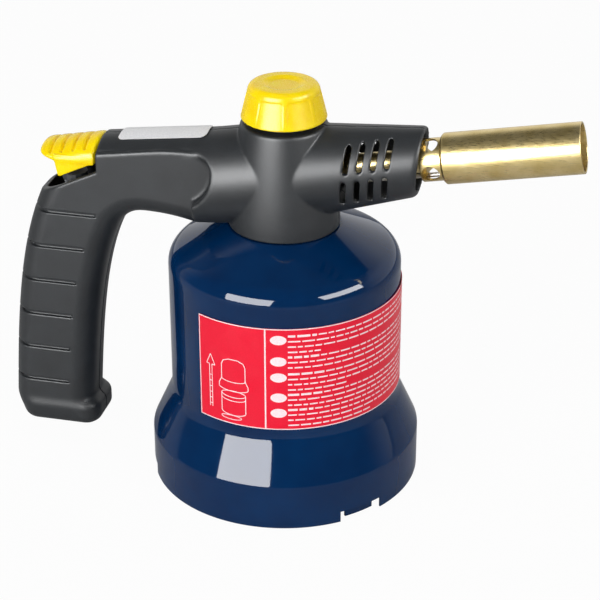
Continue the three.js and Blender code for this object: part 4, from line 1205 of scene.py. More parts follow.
    def _grip(self, x: Array, y: Array, z: Array) -> Array:
        """Gives the distance to the grip and arch, rounded towards their edges."""
        inset = np.maximum(self.edge_round + self.grip.at(x, z), 0.0) / self.edge_round
        across = np.maximum(y - (self.half_thickness - self.edge_round_depth), 0.0) / self.edge_round_depth
        edge = (np.sqrt(inset * inset + across * across) - 1.0) * self.edge_scale
        over = self._over_ledge(x, z)
        chamfer = (over + y - (self.half_thickness - self.ledge_chamfer)) / math.sqrt(2)
        return blended_max(edge, np.maximum(over, chamfer), 0.5)

    def _spine(self, x: Array, y: Array, z: Array) -> Array:
        """Gives the distance to the rounded spine."""
        over = self._above(x, z, self.spine_level, self.spine_slope) + self.spine_radius
        rod = np.sqrt(over * over + y * y) - self.spine_radius
        sides = y - (self.half_thickness - self.ledge_width)
        ends = np.maximum(self.front_wall - x, x - self.panel_tip[0])
        sunk = -self.spine_sink - self._over_ledge(x, z)
        return blended_max(rod, np.maximum(np.maximum(sides, ends), sunk), 0.6)

    def _tube(self, x: Array, y: Array, z: Array) -> Array:
        """Gives the distance to the tube and shroud round the burner's axis."""
        c, s = math.cos(BURNER_TILT), math.sin(BURNER_TILT)
        along = x * c + (z - AXIS_LEVEL) * s
        aside = -x * s + (z - AXIS_LEVEL) * c
        radius = self.tube_radius - np.maximum(along - self.tube_taper_start, 0.0) * self.taper
        rod = np.maximum(np.sqrt(aside * aside + y * y) - radius, self.tube_start - along)
        rod = blended_max(rod, self.tube_floor - z, 1.2)
        ledge = self._ledge_end()
        crest = axis_level(self.tube_crest) + self.tube_radius / c
        run, rise = self.tube_crest - self.panel_top, crest - ledge
        size = math.hypot(run, rise)
        beyond = ((z - ledge) * run - (x - self.panel_top) * rise) / size
        beyond = np.where(z < ledge - self.crest_start, -9.0, beyond)  # nothing is cut lower down
        rod = blended_max(rod, beyond, 1.0)
        recess = blended_max(self.panel.at(x, z), self.half_thickness - y, self.panel_round)
        return blended_max(rod, -recess, 1.8)

    def _hub(self, x: Array, y: Array, z: Array) -> Array:
        """Gives the distance to the waisted hub on the bell."""
        low = CROWN_LEVEL + self.hub_lift
        share = np.clip((z - low - self.hub_foot_height) / (HUB_TOP - low - self.hub_foot_height), 0.0, 1.0)
        radius = self.hub_foot - (self.hub_foot - self.hub_head) * share * np.sqrt(share)
        side = np.sqrt(x * x + y * y) - radius
        return blended_max(blended_max(side, z - HUB_TOP, 1.2), low - z, 0.5)

    def _toe(self, x: Array, y: Array, z: Array) -> Array:
        """Gives the distance to the toe that swells out at the grip's foot."""
        front = self.line_point(0.0, self.grip_half)[0] + self.toe_front_reach
        half = self.toe_length / 2
        u = np.abs(x - front + half) - (half - self.toe_corner)
        v = y - (self.half_thickness - self.toe_corner)
        plan = rounded(u, v, self.toe_corner)
        w = np.abs(z - self.grip_bottom - self.toe_height / 2) - self.toe_height / 2
        return rounded(plan + self.toe_round, w + self.toe_round, self.toe_round)

    def _slots(self, x: Array, z: Array) -> Array:
        """Gives the distance to the nearest slot, seen from the side."""
        lean = math.radians(self.rim_lean)
        best = None
        for n in range(self.slot_count):
            top = self.slot_start + n * self.slot_pitch
            low = top - (self.upper_slot + self.lower_slot) * math.tan(lean)
            for place, rise in ((top, self.upper_slot), (low, -self.lower_slot)):
                level = axis_level(top) + rise
                u = (x - place) * math.cos(lean) - (z - level) * math.sin(lean)
                v = (x - place) * math.sin(lean) + (z - level) * math.cos(lean)
                v = np.maximum(np.abs(v) - (self.slot_length - self.slot_width) / 2, 0.0)
                one = np.sqrt(u * u + v * v) - self.slot_width / 2
                best = one if best is None else np.minimum(best, one)
        return best

    def screw_places(self) -> list[Point2]:
        """Gives X and height of the five screws."""
        low, middle = (self.line_point(share, 0.0) for share in self.screw_shares)
        hub, shroud = self.hub_screw, self.shroud_screw
        return [
            low, middle, self.arch_screw, (hub[0], CROWN_LEVEL + hub[1]),
            (shroud[0], axis_level(shroud[0]) + shroud[1]),
        ]

    def distance(self, x: Array, y: Array, z: Array, side: Side) -> Array:
        """Gives the distance to one finished half shell.

        Args:
            x: Places along the burner's direction.
            y: Places across.
            z: Heights.
            side: Which half.

        Returns:
            Signed distances, negative in the plastic.
        """
        away = y * side.value
        y = np.abs(y)
        grip = self._grip(x, y, z)
        solid = blended_min(grip, self._spine(x, y, z), 0.4)
        solid = blended_min(solid, self._tube(x, y, z), 0.3)
        solid = blended_min(solid, self._hub(x, y, z), 0.2)
        solid = blended_min(solid, self._toe(x, y, z), 3.0)
        shell = np.maximum(solid, -(solid + self.wall))
        screws = [np.sqrt((x - px) ** 2 + (z - pz) ** 2) for px, pz in self.screw_places()]
        for gap in screws:
            shell = np.minimum(shell, np.maximum(gap - self.boss_radius, solid))
        front = np.maximum(np.maximum(self.front_wall - x, x - self.front_wall - self.wall), solid)
        shell = np.minimum(shell, np.maximum(front, self.lip_level - z))
        neck = np.sqrt(x * x + y * y)
        plate = np.abs(z - HUB_TOP - self.plate_lift) - self.neck_rise + self.plate_lift
        shell = np.minimum(shell, np.maximum(neck - self.neck_radius, plate))
        shell = blended_max(shell, -np.maximum(neck - self.neck_bore, AXIS_LEVEL - z), 0.3)
        shell = np.maximum(shell, -np.maximum(neck - self.floor_bore, z - CROWN_LEVEL - self.floor_top))
        opening = np.maximum(x - self.front_wall, -self._above(x, z, self.lip_level, self.lip_slope))
        shell = blended_max(shell, -opening, 0.5)
        lean = math.radians(self.rim_lean)
        place = self.rim_place * math.cos(BURNER_TILT)
        level = axis_level(place)
        beyond = (x - place) * math.cos(lean) - (z - level) * math.sin(lean)
        shell = blended_max(shell, beyond, self.rim_round)
        for n in range(self.groove_count):
            height = self.groove_start + n * self.groove_pitch
            margin = self.top_groove_margin if n == self.groove_count - 1 else self.groove_margin
            end = self.edge_at(height, self.grip_half) - margin
            groove = np.maximum(np.abs(z - height) - self.groove_width / 2, x - end)
            groove = np.maximum(groove, -(grip + self.groove_depth))
            shell = blended_max(shell, -groove, 0.2)
        shell = blended_max(shell, -self._slots(x, z), 0.4)
        if side is Side.FAR:
            for gap in screws:
                well = np.maximum(gap - self.sink_radius, self.screw_reach - away)
                shell = blended_max(shell, -well, 0.4)
        return blended_max(shell, self.seam - away, 0.5)

    def lines(self, side: Side) -> tuple[Array, Array, Array]:
        """Gives the measuring grid of one half."""
        slots = (self.slot_start - 4.0, self.slot_start + self.slot_pitch * self.slot_count, self.slot_grid)
        heights = [self.groove_start + n * self.groove_pitch for n in range(self.groove_count)]
        reach, close = self.groove_grid
        grooves = [(height - reach, height + reach, close) for height in heights]
        across = spaced(*self.y_ends, self.grid, [(self.y_ends[0], 0.7, self.seam_grid)])
        if side is Side.NEAR:
            across = -across[::-1]
        along, up = spaced(*self.x_ends, self.grid, [slots]), spaced(*self.z_ends, self.grid, grooves)
        return along, across, up

    def build(self, finish: Finish) -> None:
        """Makes both halves."""
        for side, name in ((Side.NEAR, "right_shell"), (Side.FAR, "left_shell")):
            skin = Skin(lambda x, y, z, s=side: self.distance(x, y, z, s), self.lines(side))
            points, faces = skin.mesh()
            shell = new_piece("moulded_" + name, points, faces, crease=ALL_SMOOTH)
            finish.dress(shell)
            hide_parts(name)
            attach(shell, "lamp")
            LOG.info("%s: %d faces", shell.name, len(shell.data.polygons))


@dataclass
class Screws:
    """Pan-head screws with cross recesses, sunk in the far half."""

    head_radius: float = 2.8
    head_height: float = 2.2
    shank_radius: float = 1.3
    reach: float = 8.0
    recess_reach: float = 2.6
    recess_width: float = 0.55
    recess_depth: float = 2.2
    first_turn: float = 0.4

    def build(self, places: Sequence[Point2], finish: Finish) -> None:
        """Makes one screw at each place."""
        top = self.reach + self.head_height
        profile = softened([
            (0.0, -self.reach), (self.shank_radius, self.shank_radius - self.reach),
            (self.shank_radius, self.reach), (self.head_radius, self.reach, 0.3),
            (self.head_radius, self.reach + self.head_height * 0.55, 0.9),
            (self.head_radius * 0.5, top, 1.2), (0.0, top),
        ], 5, closed=False)
        for n, (x, z) in enumerate(places):
            turn = Matrix.Translation((x, 0.0, z)) @ Matrix.Rotation(-math.pi / 2, 4, "X")
            screw = turned(f"cross_screw_{n + 1}", profile, 40, turn, closed=False)
            turn = turn @ Matrix.Rotation(self.first_turn + n, 4, "Z")
            arms = [
                block("arm", (0, 0, top), size, turn)
                for size in (
                    (self.recess_reach, self.recess_width, self.recess_depth),
                    (self.recess_width, self.recess_reach, self.recess_depth),
                )
            ]
            carve(screw, arms)
            finish.dress(screw)
            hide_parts(f"shell_screw_{n + 1}")
            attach(screw, "lamp")


@dataclass
class SpineSticker:
    """The bare silver sticker on the spine, placed along it from the trigger's front wall."""

    radius: float = 19.3
    thickness: float = 0.25
    start: float = 10.0
    length: float = 37.2
    width: float = 13.0
    near_corner: float = 1.8
    far_corner: float = 3.0

    def build(self, body: Body, finish: Finish) -> None:
        """Bends a round-cornered sheet over the spine."""
        half, end = self.width / 2, self.start + self.length
        outline = softened([
            (self.start, -half, self.near_corner), (end, -half, self.far_corner),
            (end, half, self.far_corner), (self.start, half, self.near_corner),
        ], 8)
        slope = math.radians(body.spine_slope)
        centre = Vector((body.front_wall, 0.0, body.spine_level - body.spine_radius / math.cos(slope)))
        turn = Matrix.Translation(centre) @ Matrix.Rotation(-slope, 4, "Y")
        sheet = bent_sheet("spine_sticker", outline, self.radius, self.thickness, turn)
        finish.dress(sheet)
        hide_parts("handle_label")
        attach(sheet, "lamp")


def filled(outline: Sequence[Point2], pitch: float) -> tuple[list[Point2], list[list[int]]]:
    """Fills a flat outline with faces, split at every pitch along its first direction.

    Args:
        outline: The outline's points.
        pitch: Spacing of the splits.

    Returns:
        Points and faces.
    """
    work = bmesh.new()
    corners = [work.verts.new((x, y, 0.0)) for x, y in outline]
    work.faces.new(corners)
    low, high = min(p[0] for p in outline), max(p[0] for p in outline)
    place = math.ceil(low / pitch) * pitch
    while place < high:
        if low + 1e-4 < place:
            bmesh.ops.bisect_plane(
                work,
                geom=list(work.verts) + list(work.edges) + list(work.faces),
                plane_co=(place, 0.0, 0.0),
                plane_no=(1.0, 0.0, 0.0),
                dist=1e-5,
            )
        place += pitch
    work.verts.index_update()
    points = [(v.co.x, v.co.y) for v in work.verts]
    faces = [[v.index for v in face.verts] for face in work.faces]
    work.free()
    return points, faces


def bent_sheet(
    name: str, outline: Sequence[Point2], radius: float, thickness: float, turn: Matrix
) -> Piece:
    """Bends a thin sheet over a rod that lies along X.

    Args:
        name: The piece's name.
        outline: (along, across) of the sheet's edge.
        radius: Radius of the sheet's underside.
        thickness: Its thickness.
        turn: A matrix that lays the rod in place.

    Returns:
        The closed sheet.
    """
    flat, faces = filled([(b, a) for a, b in outline], 1.0)
    points, skins = [], []
    for level in (radius + thickness, radius):
        for across, along in flat:
            points.append((along, level * math.sin(across / radius), level * math.cos(across / radius)))
    count = len(flat)
    edges: dict[tuple[int, int], int] = {}
    for face in faces:
        skins.append(face)
        skins.append([n + count for n in reversed(face)])
        for k, n in enumerate(face):
            edges[(face[k - 1], n)] = 1
    for a, b in list(edges):
        if (b, a) not in edges:
            skins.append([b, a, a + count, b + count])
    piece = new_piece(name, points, skins, turn)
    face_outwards(piece)
    smooth(piece)
    return piece


# Bell and its label


@dataclass
class Bell:
    """The drawn steel bell with its flared skirt and bayonet lugs."""

    sheet: float = 0.9
    skirt: float = 56.0
    neck: float = 47.5
    skirt_height: float = 19.2
    neck_start: float = 38.0
    shoulder: float = 95.7
    shoulder_round: float = 9.0
    seat: float = 23.2
    hole: float = 8.0
    lug_angle: float = 47.6
    notch_pitch: float = 17.4
    notch_width: float = 3.0
    notch_height: float = 4.9
    lug_depth: float = 2.0
    window_depth: float = 14.0
    skirt_round: float = 3.2
    flare_round: float = 13.0
    shoulder_rise: float = 4.6

    def _surface(self, inset: float) -> list[tuple[float, ...]]:
        """Gives the corners of the outside, or of the inside when inset by the sheet."""
        shoulder = self.shoulder + self.shoulder_rise - inset * 0.6
        return [
            (self.skirt - inset, self.skirt_height, self.skirt_round - inset),
            (self.neck - inset, self.neck_start, self.flare_round + inset),
            (self.neck - inset, shoulder, self.shoulder_round - inset),
            (self.seat, CROWN_LEVEL - inset, 2.0),
        ]

    def build(self, finish: Finish) -> None:
        """Turns the bell, and cuts its notches and presses its lugs."""
        corners = [(self.skirt - self.sheet, 0.0, 0.2), (self.skirt, 0.0, 0.4), *self._surface(0.0)]
        corners += [(self.hole, CROWN_LEVEL), (self.hole, CROWN_LEVEL - self.sheet)]
        corners += list(reversed(self._surface(self.sheet)))
        bell = turned("enamel_bell", divided(softened(corners, 10), 4.0), 256)
        inside = self.skirt - self.sheet
        width = 2 * self.skirt * math.sin(math.radians(self.notch_pitch / 2)) + self.notch_width
        tools, lugs = [], []
        for n in range(3):
            turn = Matrix.Rotation(math.radians(self.lug_angle + 120 * n), 4, "Z")
            size = (width, self.window_depth, 2 * self.notch_height)
            tools.append(block("window", (0, -self.skirt, 0), size, turn))
            lugs.append(self._lug(width - 2 * self.notch_width, inside, turn))
        carve(bell, tools)
        carve(bell, lugs, Cut.UNION)
        finish.dress(bell)
        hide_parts("bell")
        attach(bell, "lamp")
        LOG.info("%s: %d faces", bell.name, len(bell.data.polygons))

    def _lug(self, width: float, inside: float, turn: Matrix) -> Piece:
        """Makes one lug, pressed in by its depth, with the web that carries it."""
        half = width / 2 / self.skirt
        low, high = 0.8, self.notch_height
        tip, web = inside - self.lug_depth, inside + self.sheet * 0.5
        section = [
            (tip, low), (tip + self.sheet, low), (tip + self.sheet, high - self.sheet), (web, high - 0.2),
            (web, high + self.sheet * 0.5), (tip, high + self.sheet * 0.5),
        ]
        steps = 12
        points, faces = [], []
        for k in range(steps + 1):
            angle = -half + 2 * half * k / steps
            points += [(r * math.sin(angle), -r * math.cos(angle), z) for r, z in section]
        count = len(section)
        for k in range(steps):
            for m in range(count):
                after = (m + 1) % count
                faces.append((k * count + m, k * count + after, (k + 1) * count + after, (k + 1) * count + m))
        faces.append(tuple(range(count)))
        faces.append(tuple(steps * count + m for m in reversed(range(count))))
        lug = new_piece("lug", points, faces, turn)
        face_outwards(lug)
        return lug


@dataclass
class BellLabel:
    """The red film round the bell's neck with its plain white shapes."""

    radius: float = 47.8
    thickness: float = 0.25
    start: float = -31.2
    sweep: float = 150.0
    bottom: float = 41.9
    height: float = 45.3
    divider: float = 4.5
    line: float = 0.4
    ink: float = 0.03
    ink_gap: float = 0.01
    pen: float = 0.34
    thin_pen: float = 0.3
    ring_pen: float = 0.32
    divider_width: float = 0.6
    corner: float = 0.8
    arrow: Point2 = (-24.2, 47.4)  # degrees from the near side, and height of its foot
    arrow_top: float = 66.6
    arrow_half: float = 0.62
    arrow_head: tuple[Point2, ...] = ((-0.62, 0.0), (-2.1, 0.0), (0.0, 4.6), (2.1, 0.0), (0.62, 0.0))
    rungs: tuple[float, ...] = (1.4, 4.0, 6.6, 9.2, 11.8, 14.4)
    can: float = -11.6  # degrees from the near side
    can_lines: tuple[tuple[Point2, ...], ...] = (
        (
            (-5.2, 62.2), (-5.2, 68.4), (-4.4, 70.2), (-2.0, 71.2),
            (2.0, 71.2), (4.4, 70.2), (5.2, 68.4), (5.2, 62.2),
        ),
        ((-5.2, 62.2), (-6.4, 59.8), (-6.4, 58.4)),
        ((5.2, 62.2), (6.4, 59.8), (6.4, 58.4)),
        ((-5.3, 55.6), (-5.3, 47.6)),
        ((5.3, 55.6), (5.3, 47.6)),
    )
    can_rings: tuple[tuple[float, ...], ...] = (  # shift, height, width, depth, degrees it starts at
        (0.0, 62.2, 10.4, 2.4, 180.0), (0.0, 58.4, 12.8, 3.0, 180.0), (0.0, 55.6, 10.6, 3.0, 0.0),
        (0.0, 53.9, 10.6, 3.0, 180.0), (0.0, 47.6, 10.6, 3.4, 180.0), (-1.0, 44.9, 9.0, 1.9, 0.0),
    )
    oval_place: float = 10.8  # degrees from the near side
    oval_size: Point2 = (6.5, 4.1)
    oval_drops: tuple[float, ...] = (4.9, 14.4, 21.6, 30.7, 37.7)
    rules_start: float = 15.3
    rules_end: float = 115.5
    rule_pitch: float = 2.35
    rule_width: float = 0.62
    bold_width: float = 0.95
    bold_end: float = 28.0
    shortest_bar: float = 1.6
    bar_spread: float = 3.6
    bar_gap: float = 0.75
    # drop from the top, rows, and the share of its width that the last row fills
    rule_blocks: tuple[tuple[float, int, float], ...] = (
        (3.1, 4, 0.16), (12.4, 3, 1.0), (20.0, 4, 0.3), (29.3, 3, 1.0), (36.2, 4, 0.45),
    )

    def _turn(self) -> Matrix:
        """Gives the turn from the sheet's rod along X to the bell's upright axis."""
        return Matrix(((0, 1, 0, 0), (0, 0, -1, 0), (1, 0, 0, 0), (0, 0, 0, 1)))

    def _across(self, degrees: float) -> float:
        """Gives the distance round the bell to an angle from the near side."""
        return math.radians(degrees) * self.radius

    def _print(self, name: str, outlines: Sequence[Sequence[Point2]], finish: Finish) -> None:
        """Prints flat shapes, given as (across, height), a hair above the film."""
        level, turn = self.radius + self.thickness + self.ink_gap, self._turn()
        work = bmesh.new()
        for outline in outlines:
            sheet = bent_sheet("ink", [(b, a) for a, b in outline], level, self.ink, turn)
            work.from_mesh(sheet.data)
            bpy.data.objects.remove(sheet)
        mesh = bpy.data.meshes.new(name)
        work.to_mesh(mesh)
        work.free()
        piece = bpy.data.objects.new(name, mesh)
        bpy.context.scene.collection.objects.link(piece)
        smooth(piece)
        finish.dress(piece)
        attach(piece, "lamp")

    def _bar(self, a: Point2, b: Point2, width: float) -> list[Point2]:
        """Gives the outline of a straight stroke."""
        first, last = Vector(a), Vector(b)
        along = last - first
        side = Vector((-along.y, along.x)).normalized() * (width / 2)
        return [tuple(first + side), tuple(first - side), tuple(last - side), tuple(last + side)]

    def _stroke(self, points: Sequence[Point2], width: float) -> list[list[Point2]]:
        """Gives the outlines of a bent stroke, one short bar after another."""
        return [self._bar(a, b, width) for a, b in zip(points, points[1:])]

    def _oval(self, centre: Point2, size: Point2, angles: Iterable[float]) -> list[Point2]:
        """Gives the points of an oval at some angles."""
        return [
            (centre[0] + size[0] / 2 * math.cos(angle), centre[1] + size[1] / 2 * math.sin(angle))
            for angle in angles
        ]

    def _drawing(self) -> list[list[Point2]]:
        """Gives the plain drawing of a can that goes up into a bell, with an upward arrow."""
        degrees, low = self.arrow
        ax, half, high = self._across(degrees), self.arrow_half, self.arrow_top
        shapes = [self._bar((ax + side, low), (ax + side, high), self.thin_pen) for side in (-half, half)]
        shapes += self._stroke([(ax + a, high + b) for a, b in self.arrow_head], self.pen)
        for rise in self.rungs:
            shapes.append(self._bar((ax - half, low + rise), (ax + half, low + rise), self.thin_pen))
        cx = self._across(self.can)
        for line in self.can_lines:
            shapes += self._stroke([(cx + a, b) for a, b in line], self.pen)
        steps = 22
        for shift, height, width, depth, start in self.can_rings:
            angles = [math.radians(start + (360.0 - start) * n / steps) for n in range(steps + 1)]
            shapes += self._stroke(self._oval((cx + shift, height), (width, depth), angles), self.ring_pen)
        return shapes

    def _rules(self) -> list[list[Point2]]:
        """Gives the ruled lines of plain short bars beside the ovals, their lengths by a fixed sequence."""
        shapes: list[list[Point2]] = []
        top, full, bold = self.bottom + self.height, self._across(self.rules_end), self._across(self.bold_end)
        pace = 0.0
        for drop, count, last in self.rule_blocks:
            for row in range(count):
                z = top - drop - self.rule_pitch * row
                end = full if row < count - 1 or last == 1.0 else self._across(15.0 + 100.0 * last)
                s = self._across(self.rules_start)
                while s < end - 1.0:
                    pace = (pace * 1.7 + 0.37) % 1.0
                    length = min(self.shortest_bar + self.bar_spread * pace, end - s)
                    width = self.rule_width if row or s > bold else self.bold_width
                    shapes.append(self._bar((s, z), (s + length, z), width))
                    s += length + self.bar_gap
        return shapes

    def build(self, film: Finish, ink: Finish) -> None:
        """Makes the film and prints its shapes."""
        a, b = self._across(self.start), self._across(self.start + self.sweep)
        low, high = self.bottom, self.bottom + self.height
        corners = ((low, a), (high, a), (high, b), (low, b))
        outline = softened([(*corner, self.corner) for corner in corners], 4)
        sheet = bent_sheet("red_label", outline, self.radius, self.thickness, self._turn())
        film.dress(sheet)
        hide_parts("bell_label")
        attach(sheet, "lamp")
        w, middle = self.line, self._across(self.divider)
        border = [self._bar((a, z), (b, z), w) for z in (low + w / 2, high - w / 2)]
        border += [self._bar((x, low), (x, high), w) for x in (a + w / 2, b - w / 2)]
        border.append(self._bar((middle, low), (middle, high), self.divider_width))
        self._print("label_border", border, ink)
        self._print("label_drawing", self._drawing(), ink)
        round_angles = [math.tau * n / 28 for n in range(28)]
        place = self._across(self.oval_place)
        ovals = [self._oval((place, high - drop), self.oval_size, round_angles) for drop in self.oval_drops]
        self._print("label_ovals", ovals, ink)
        self._print("label_rules", self._rules(), ink)


# Cup, knob, trigger and burner


@dataclass
class Cup:
    """The pressed steel cup under the cartridge."""

    bore: float = 45.6
    sheet: float = 1.0
    lift: float = 1.2
    height: float = 13.0
    flange: float = 54.3
    flange_low: float = 5.65
    pass_angle: float = 72.6
    pass_width: float = 19.9
    pass_gap: float = 0.6
    pass_beyond: float = 7.0
    dish: Point2 = (38.6, 42.0)  # radii where the floor's raised middle ends and its ring starts

    def build(self, finish: Finish) -> None:
        """Turns the cup and cuts the flange's three passages."""
        outside, floor = self.bore + self.sheet, self.lift + self.sheet
        top, rim = self.flange_low + self.sheet, self.lift + self.height
        near, far = self.dish
        profile = softened([
            (0.0, floor), (near, floor, 1.0), (far, self.lift, 1.2), (outside, self.lift, 1.6),
            (outside, self.flange_low, 0.4), (self.flange, self.flange_low, 0.3), (self.flange, top, 0.3),
            (outside, top, 0.6), (outside, rim, 0.3), (self.bore, rim, 0.3), (self.bore, floor, 0.6),
            (far + 0.1, floor, 1.2), (near, floor + self.sheet, 1.0), (0.0, floor + self.sheet),
        ], 4, closed=False)
        cup = turned("pressed_cup", profile, 192, closed=False)
        deep = self.flange - outside - self.pass_gap + self.pass_beyond
        middle = -(self.flange + outside + self.pass_gap) / 2 - self.pass_beyond / 2
        tools = []
        for n in range(3):
            turn = Matrix.Rotation(math.radians(self.pass_angle + 120 * n), 4, "Z")
            tools.append(block("passage", (0, middle, self.flange_low), (self.pass_width, deep, 7.0), turn))
        carve(cup, tools)
        finish.dress(cup)
        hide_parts("cartridge_cup")
        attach(cup, "cup")


@dataclass
class Knob:
    """The yellow regulator knob, whose eight shallow round panels fade out towards its foot."""

    bottom: float = 156.7
    top: float = 170.8
    foot: float = 17.1
    head: float = 13.7
    round: float = 2.8
    wall: float = 2.2
    flutes: int = 8
    ridge_angle: float = 15.4
    ridge_width: float = 1.3
    depth: float = 0.36
    planed: float = 0.05
    arch: float = 3.0
    dish: float = 8.4
    dish_depth: float = 0.9
    bore: float = 3.3
    boss: float = 5.6
    lip: float = 0.6
    panel_round: float = 1.6
    panel_edge: float = 0.45
    fade: float = 0.8
    side_radius: float = 14.0  # the outside's long faces lie beyond it
    side_pitch: float = 0.4

    def _fluted(self, radius: float, height: float, angle: float) -> float:
        """Gives the radius with the panels pressed in, deepest at their tops."""
        if radius < self.head - 3.2 or height > self.top - self.arch + 1.0:
            return radius
        pitch = 2 * math.pi / self.flutes
        off = (angle - math.radians(self.ridge_angle)) % pitch - pitch / 2
        across = abs(off) * radius
        half = pitch / 2 * radius - self.ridge_width / 2
        over_side = across - (half - self.panel_round)
        over_top = height - (self.top - self.arch - self.panel_round)
        gap = math.hypot(max(over_side, 0.0), max(over_top, 0.0)) + min(max(over_side, over_top), 0.0)
        share = min(max(-(gap - self.panel_round) / self.panel_edge, 0.0), 1.0)
        share = share * share * (3 - 2 * share)
        start = self.bottom + self.lip
        rise = min(max((height - start) / (self.top - self.arch - start), 0.0), 1.0)
        flat = radius * (1 - math.cos(half / radius) / math.cos(off)) * self.planed
        return radius - share * (self.depth + max(flat, 0.0)) * rise**self.fade

    def build(self, finish: Finish) -> None:
        """Turns the knob with its hollow and boss."""
        slope = (self.foot - self.head) / (self.top - self.bottom)
        sunk = self.top - self.dish_depth
        roof, wall = sunk - self.wall, self.foot - self.wall
        inside = [
            (0.0, roof), (self.bore, roof), (self.bore, self.bottom + 0.2),
            (self.boss, self.bottom + 0.2, 0.2), (self.boss, roof - 0.01),
            (wall - slope * (roof - self.bottom), roof, 0.6), (wall, self.bottom),
        ]
        outside = [
            (self.foot - 0.2, self.bottom, 0.25), (self.foot, self.bottom + 0.5, 0.2),
            (self.head, self.top, self.round), (self.dish, self.top, 1.6), (self.dish - 2.6, sunk, 3.0),
            (0.0, sunk),
        ]
        corners = softened(inside + outside, 6, closed=False)
        profile = divided(corners, self.side_pitch, closed=False, beyond=self.side_radius)
        knob = turned("fluted_knob", profile, 384, closed=False, radius_at=self._outer_only)
        finish.dress(knob)
        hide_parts("regulator_knob")
        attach(knob, "knob")
        LOG.info("%s: %d faces", knob.name, len(knob.data.polygons))

    def _outer_only(self, radius: float, height: float, angle: float) -> float:
        """Presses the panels into the outside and leaves the inside round."""
        slope = (self.foot - self.head) / (self.top - self.bottom)
        if radius < self.foot - self.wall * 0.6 - slope * (height - self.bottom):
            return radius
        return self._fluted(radius, height, angle)


@dataclass
class Trigger:
    """The yellow ribbed trigger: a pad from front to back, and a stem under it. Slopes are in degrees."""

    front: float = -75.6
    back: float = -101.0
    level: float = 142.6
    slope: float = 10.8
    depth: float = 9.6
    half_width: float = 12.0
    corner: float = 4.5
    sweep: float = 1.1
    crown: float = 18.0
    rib_start: float = 5.5
    rib_pitch: float = 4.9
    rib_count: int = 4
    rib_depth: float = 1.25
    rib_half: float = 10.2
    under_slope: float = 14.0
    stem_level: float = 133.7
    stem_back: float = -91.0
    lip_slope: float = 25.0
    valley: float = 0.62
    rib_fade: float = 1.6
    stem_foot: float = 127.0
    stem_lean: float = -0.18
    stem_inset: float = 0.7
    stem_overlap: float = 3.0
    under_lip: float = 0.6

    def _crown(self, x: Array, y: Array, z: Array) -> Array:
        """Gives the height over the crowned face with its ribs' valleys."""
        a = math.radians(self.slope)
        over = (z - self.level) * math.cos(a) + (self.front - x) * math.sin(a) + self.crown
        crown = np.sqrt(over * over + y * y) - self.crown
        along = (self.front - x) * math.cos(a) - (z - self.level) * math.sin(a)
        reach = np.clip((self.rib_half - np.abs(y)) / self.rib_fade, 0.0, 1.0)
        for n in range(self.rib_count):
            gap = (along - (self.rib_start + n * self.rib_pitch) / math.cos(a)) / self.valley
            crown = crown + self.rib_depth * np.exp(-gap * gap) * reach
        return crown

    def _plan(self, x: Array, y: Array) -> Array:
        """Gives the distance to the pad's outline from above: bowed in front, round-cornered at the back."""
        bow = x - self.front - self.sweep * (0.5 - (y / self.half_width) ** 2)
        u = (self.back + self.corner) - x
        v = np.abs(y) - (self.half_width - self.corner)
        return np.maximum(rounded(u, v, self.corner), bow)

    def distance(self, x: Array, y: Array, z: Array) -> Array:
        """Gives the distance to the trigger, negative inside."""
        under = self.level - self.depth
        tilt = math.radians(self.under_slope)
        belly = (under - z) * math.cos(tilt) + (self.stem_back - 3.0 - x) * math.sin(tilt)
        pad = blended_max(self._crown(x, y, z), self._plan(x, y), 2.4)
        pad = blended_max(pad, np.maximum(under - self.under_lip - z, belly), 2.2)
        rise = math.radians(self.lip_slope)
        low = (self.stem_level - z) * math.cos(rise) - (self.front - x) * math.sin(rise)
        stem = blended_max(low, x - self.front, 0.8)
        behind = self.stem_back - 1.2 - x + (z - self.stem_foot) * self.stem_lean
        stem = blended_max(stem, behind, 1.2)
        stem = blended_max(stem, np.abs(y) - self.half_width + self.stem_inset, 1.0)
        stem = np.maximum(stem, z - under - self.stem_overlap)
        return blended_min(pad, stem, 0.5)

    def build(self, finish: Finish) -> None:
        """Wraps the trigger's skin, on a grid whose ends lie just outside it."""
        lines = (spaced(-102.4, -73.5, 0.32), spaced(-12.8, 12.8, 0.4), spaced(123.0, 144.2, 0.32))
        points, faces = Skin(self.distance, lines).mesh()
        trigger = new_piece("ribbed_trigger", points, faces, crease=ALL_SMOOTH)
        finish.dress(trigger)
        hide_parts("trigger")
        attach(trigger, "trigger")
        LOG.info("%s: %d faces", trigger.name, len(trigger.data.polygons))


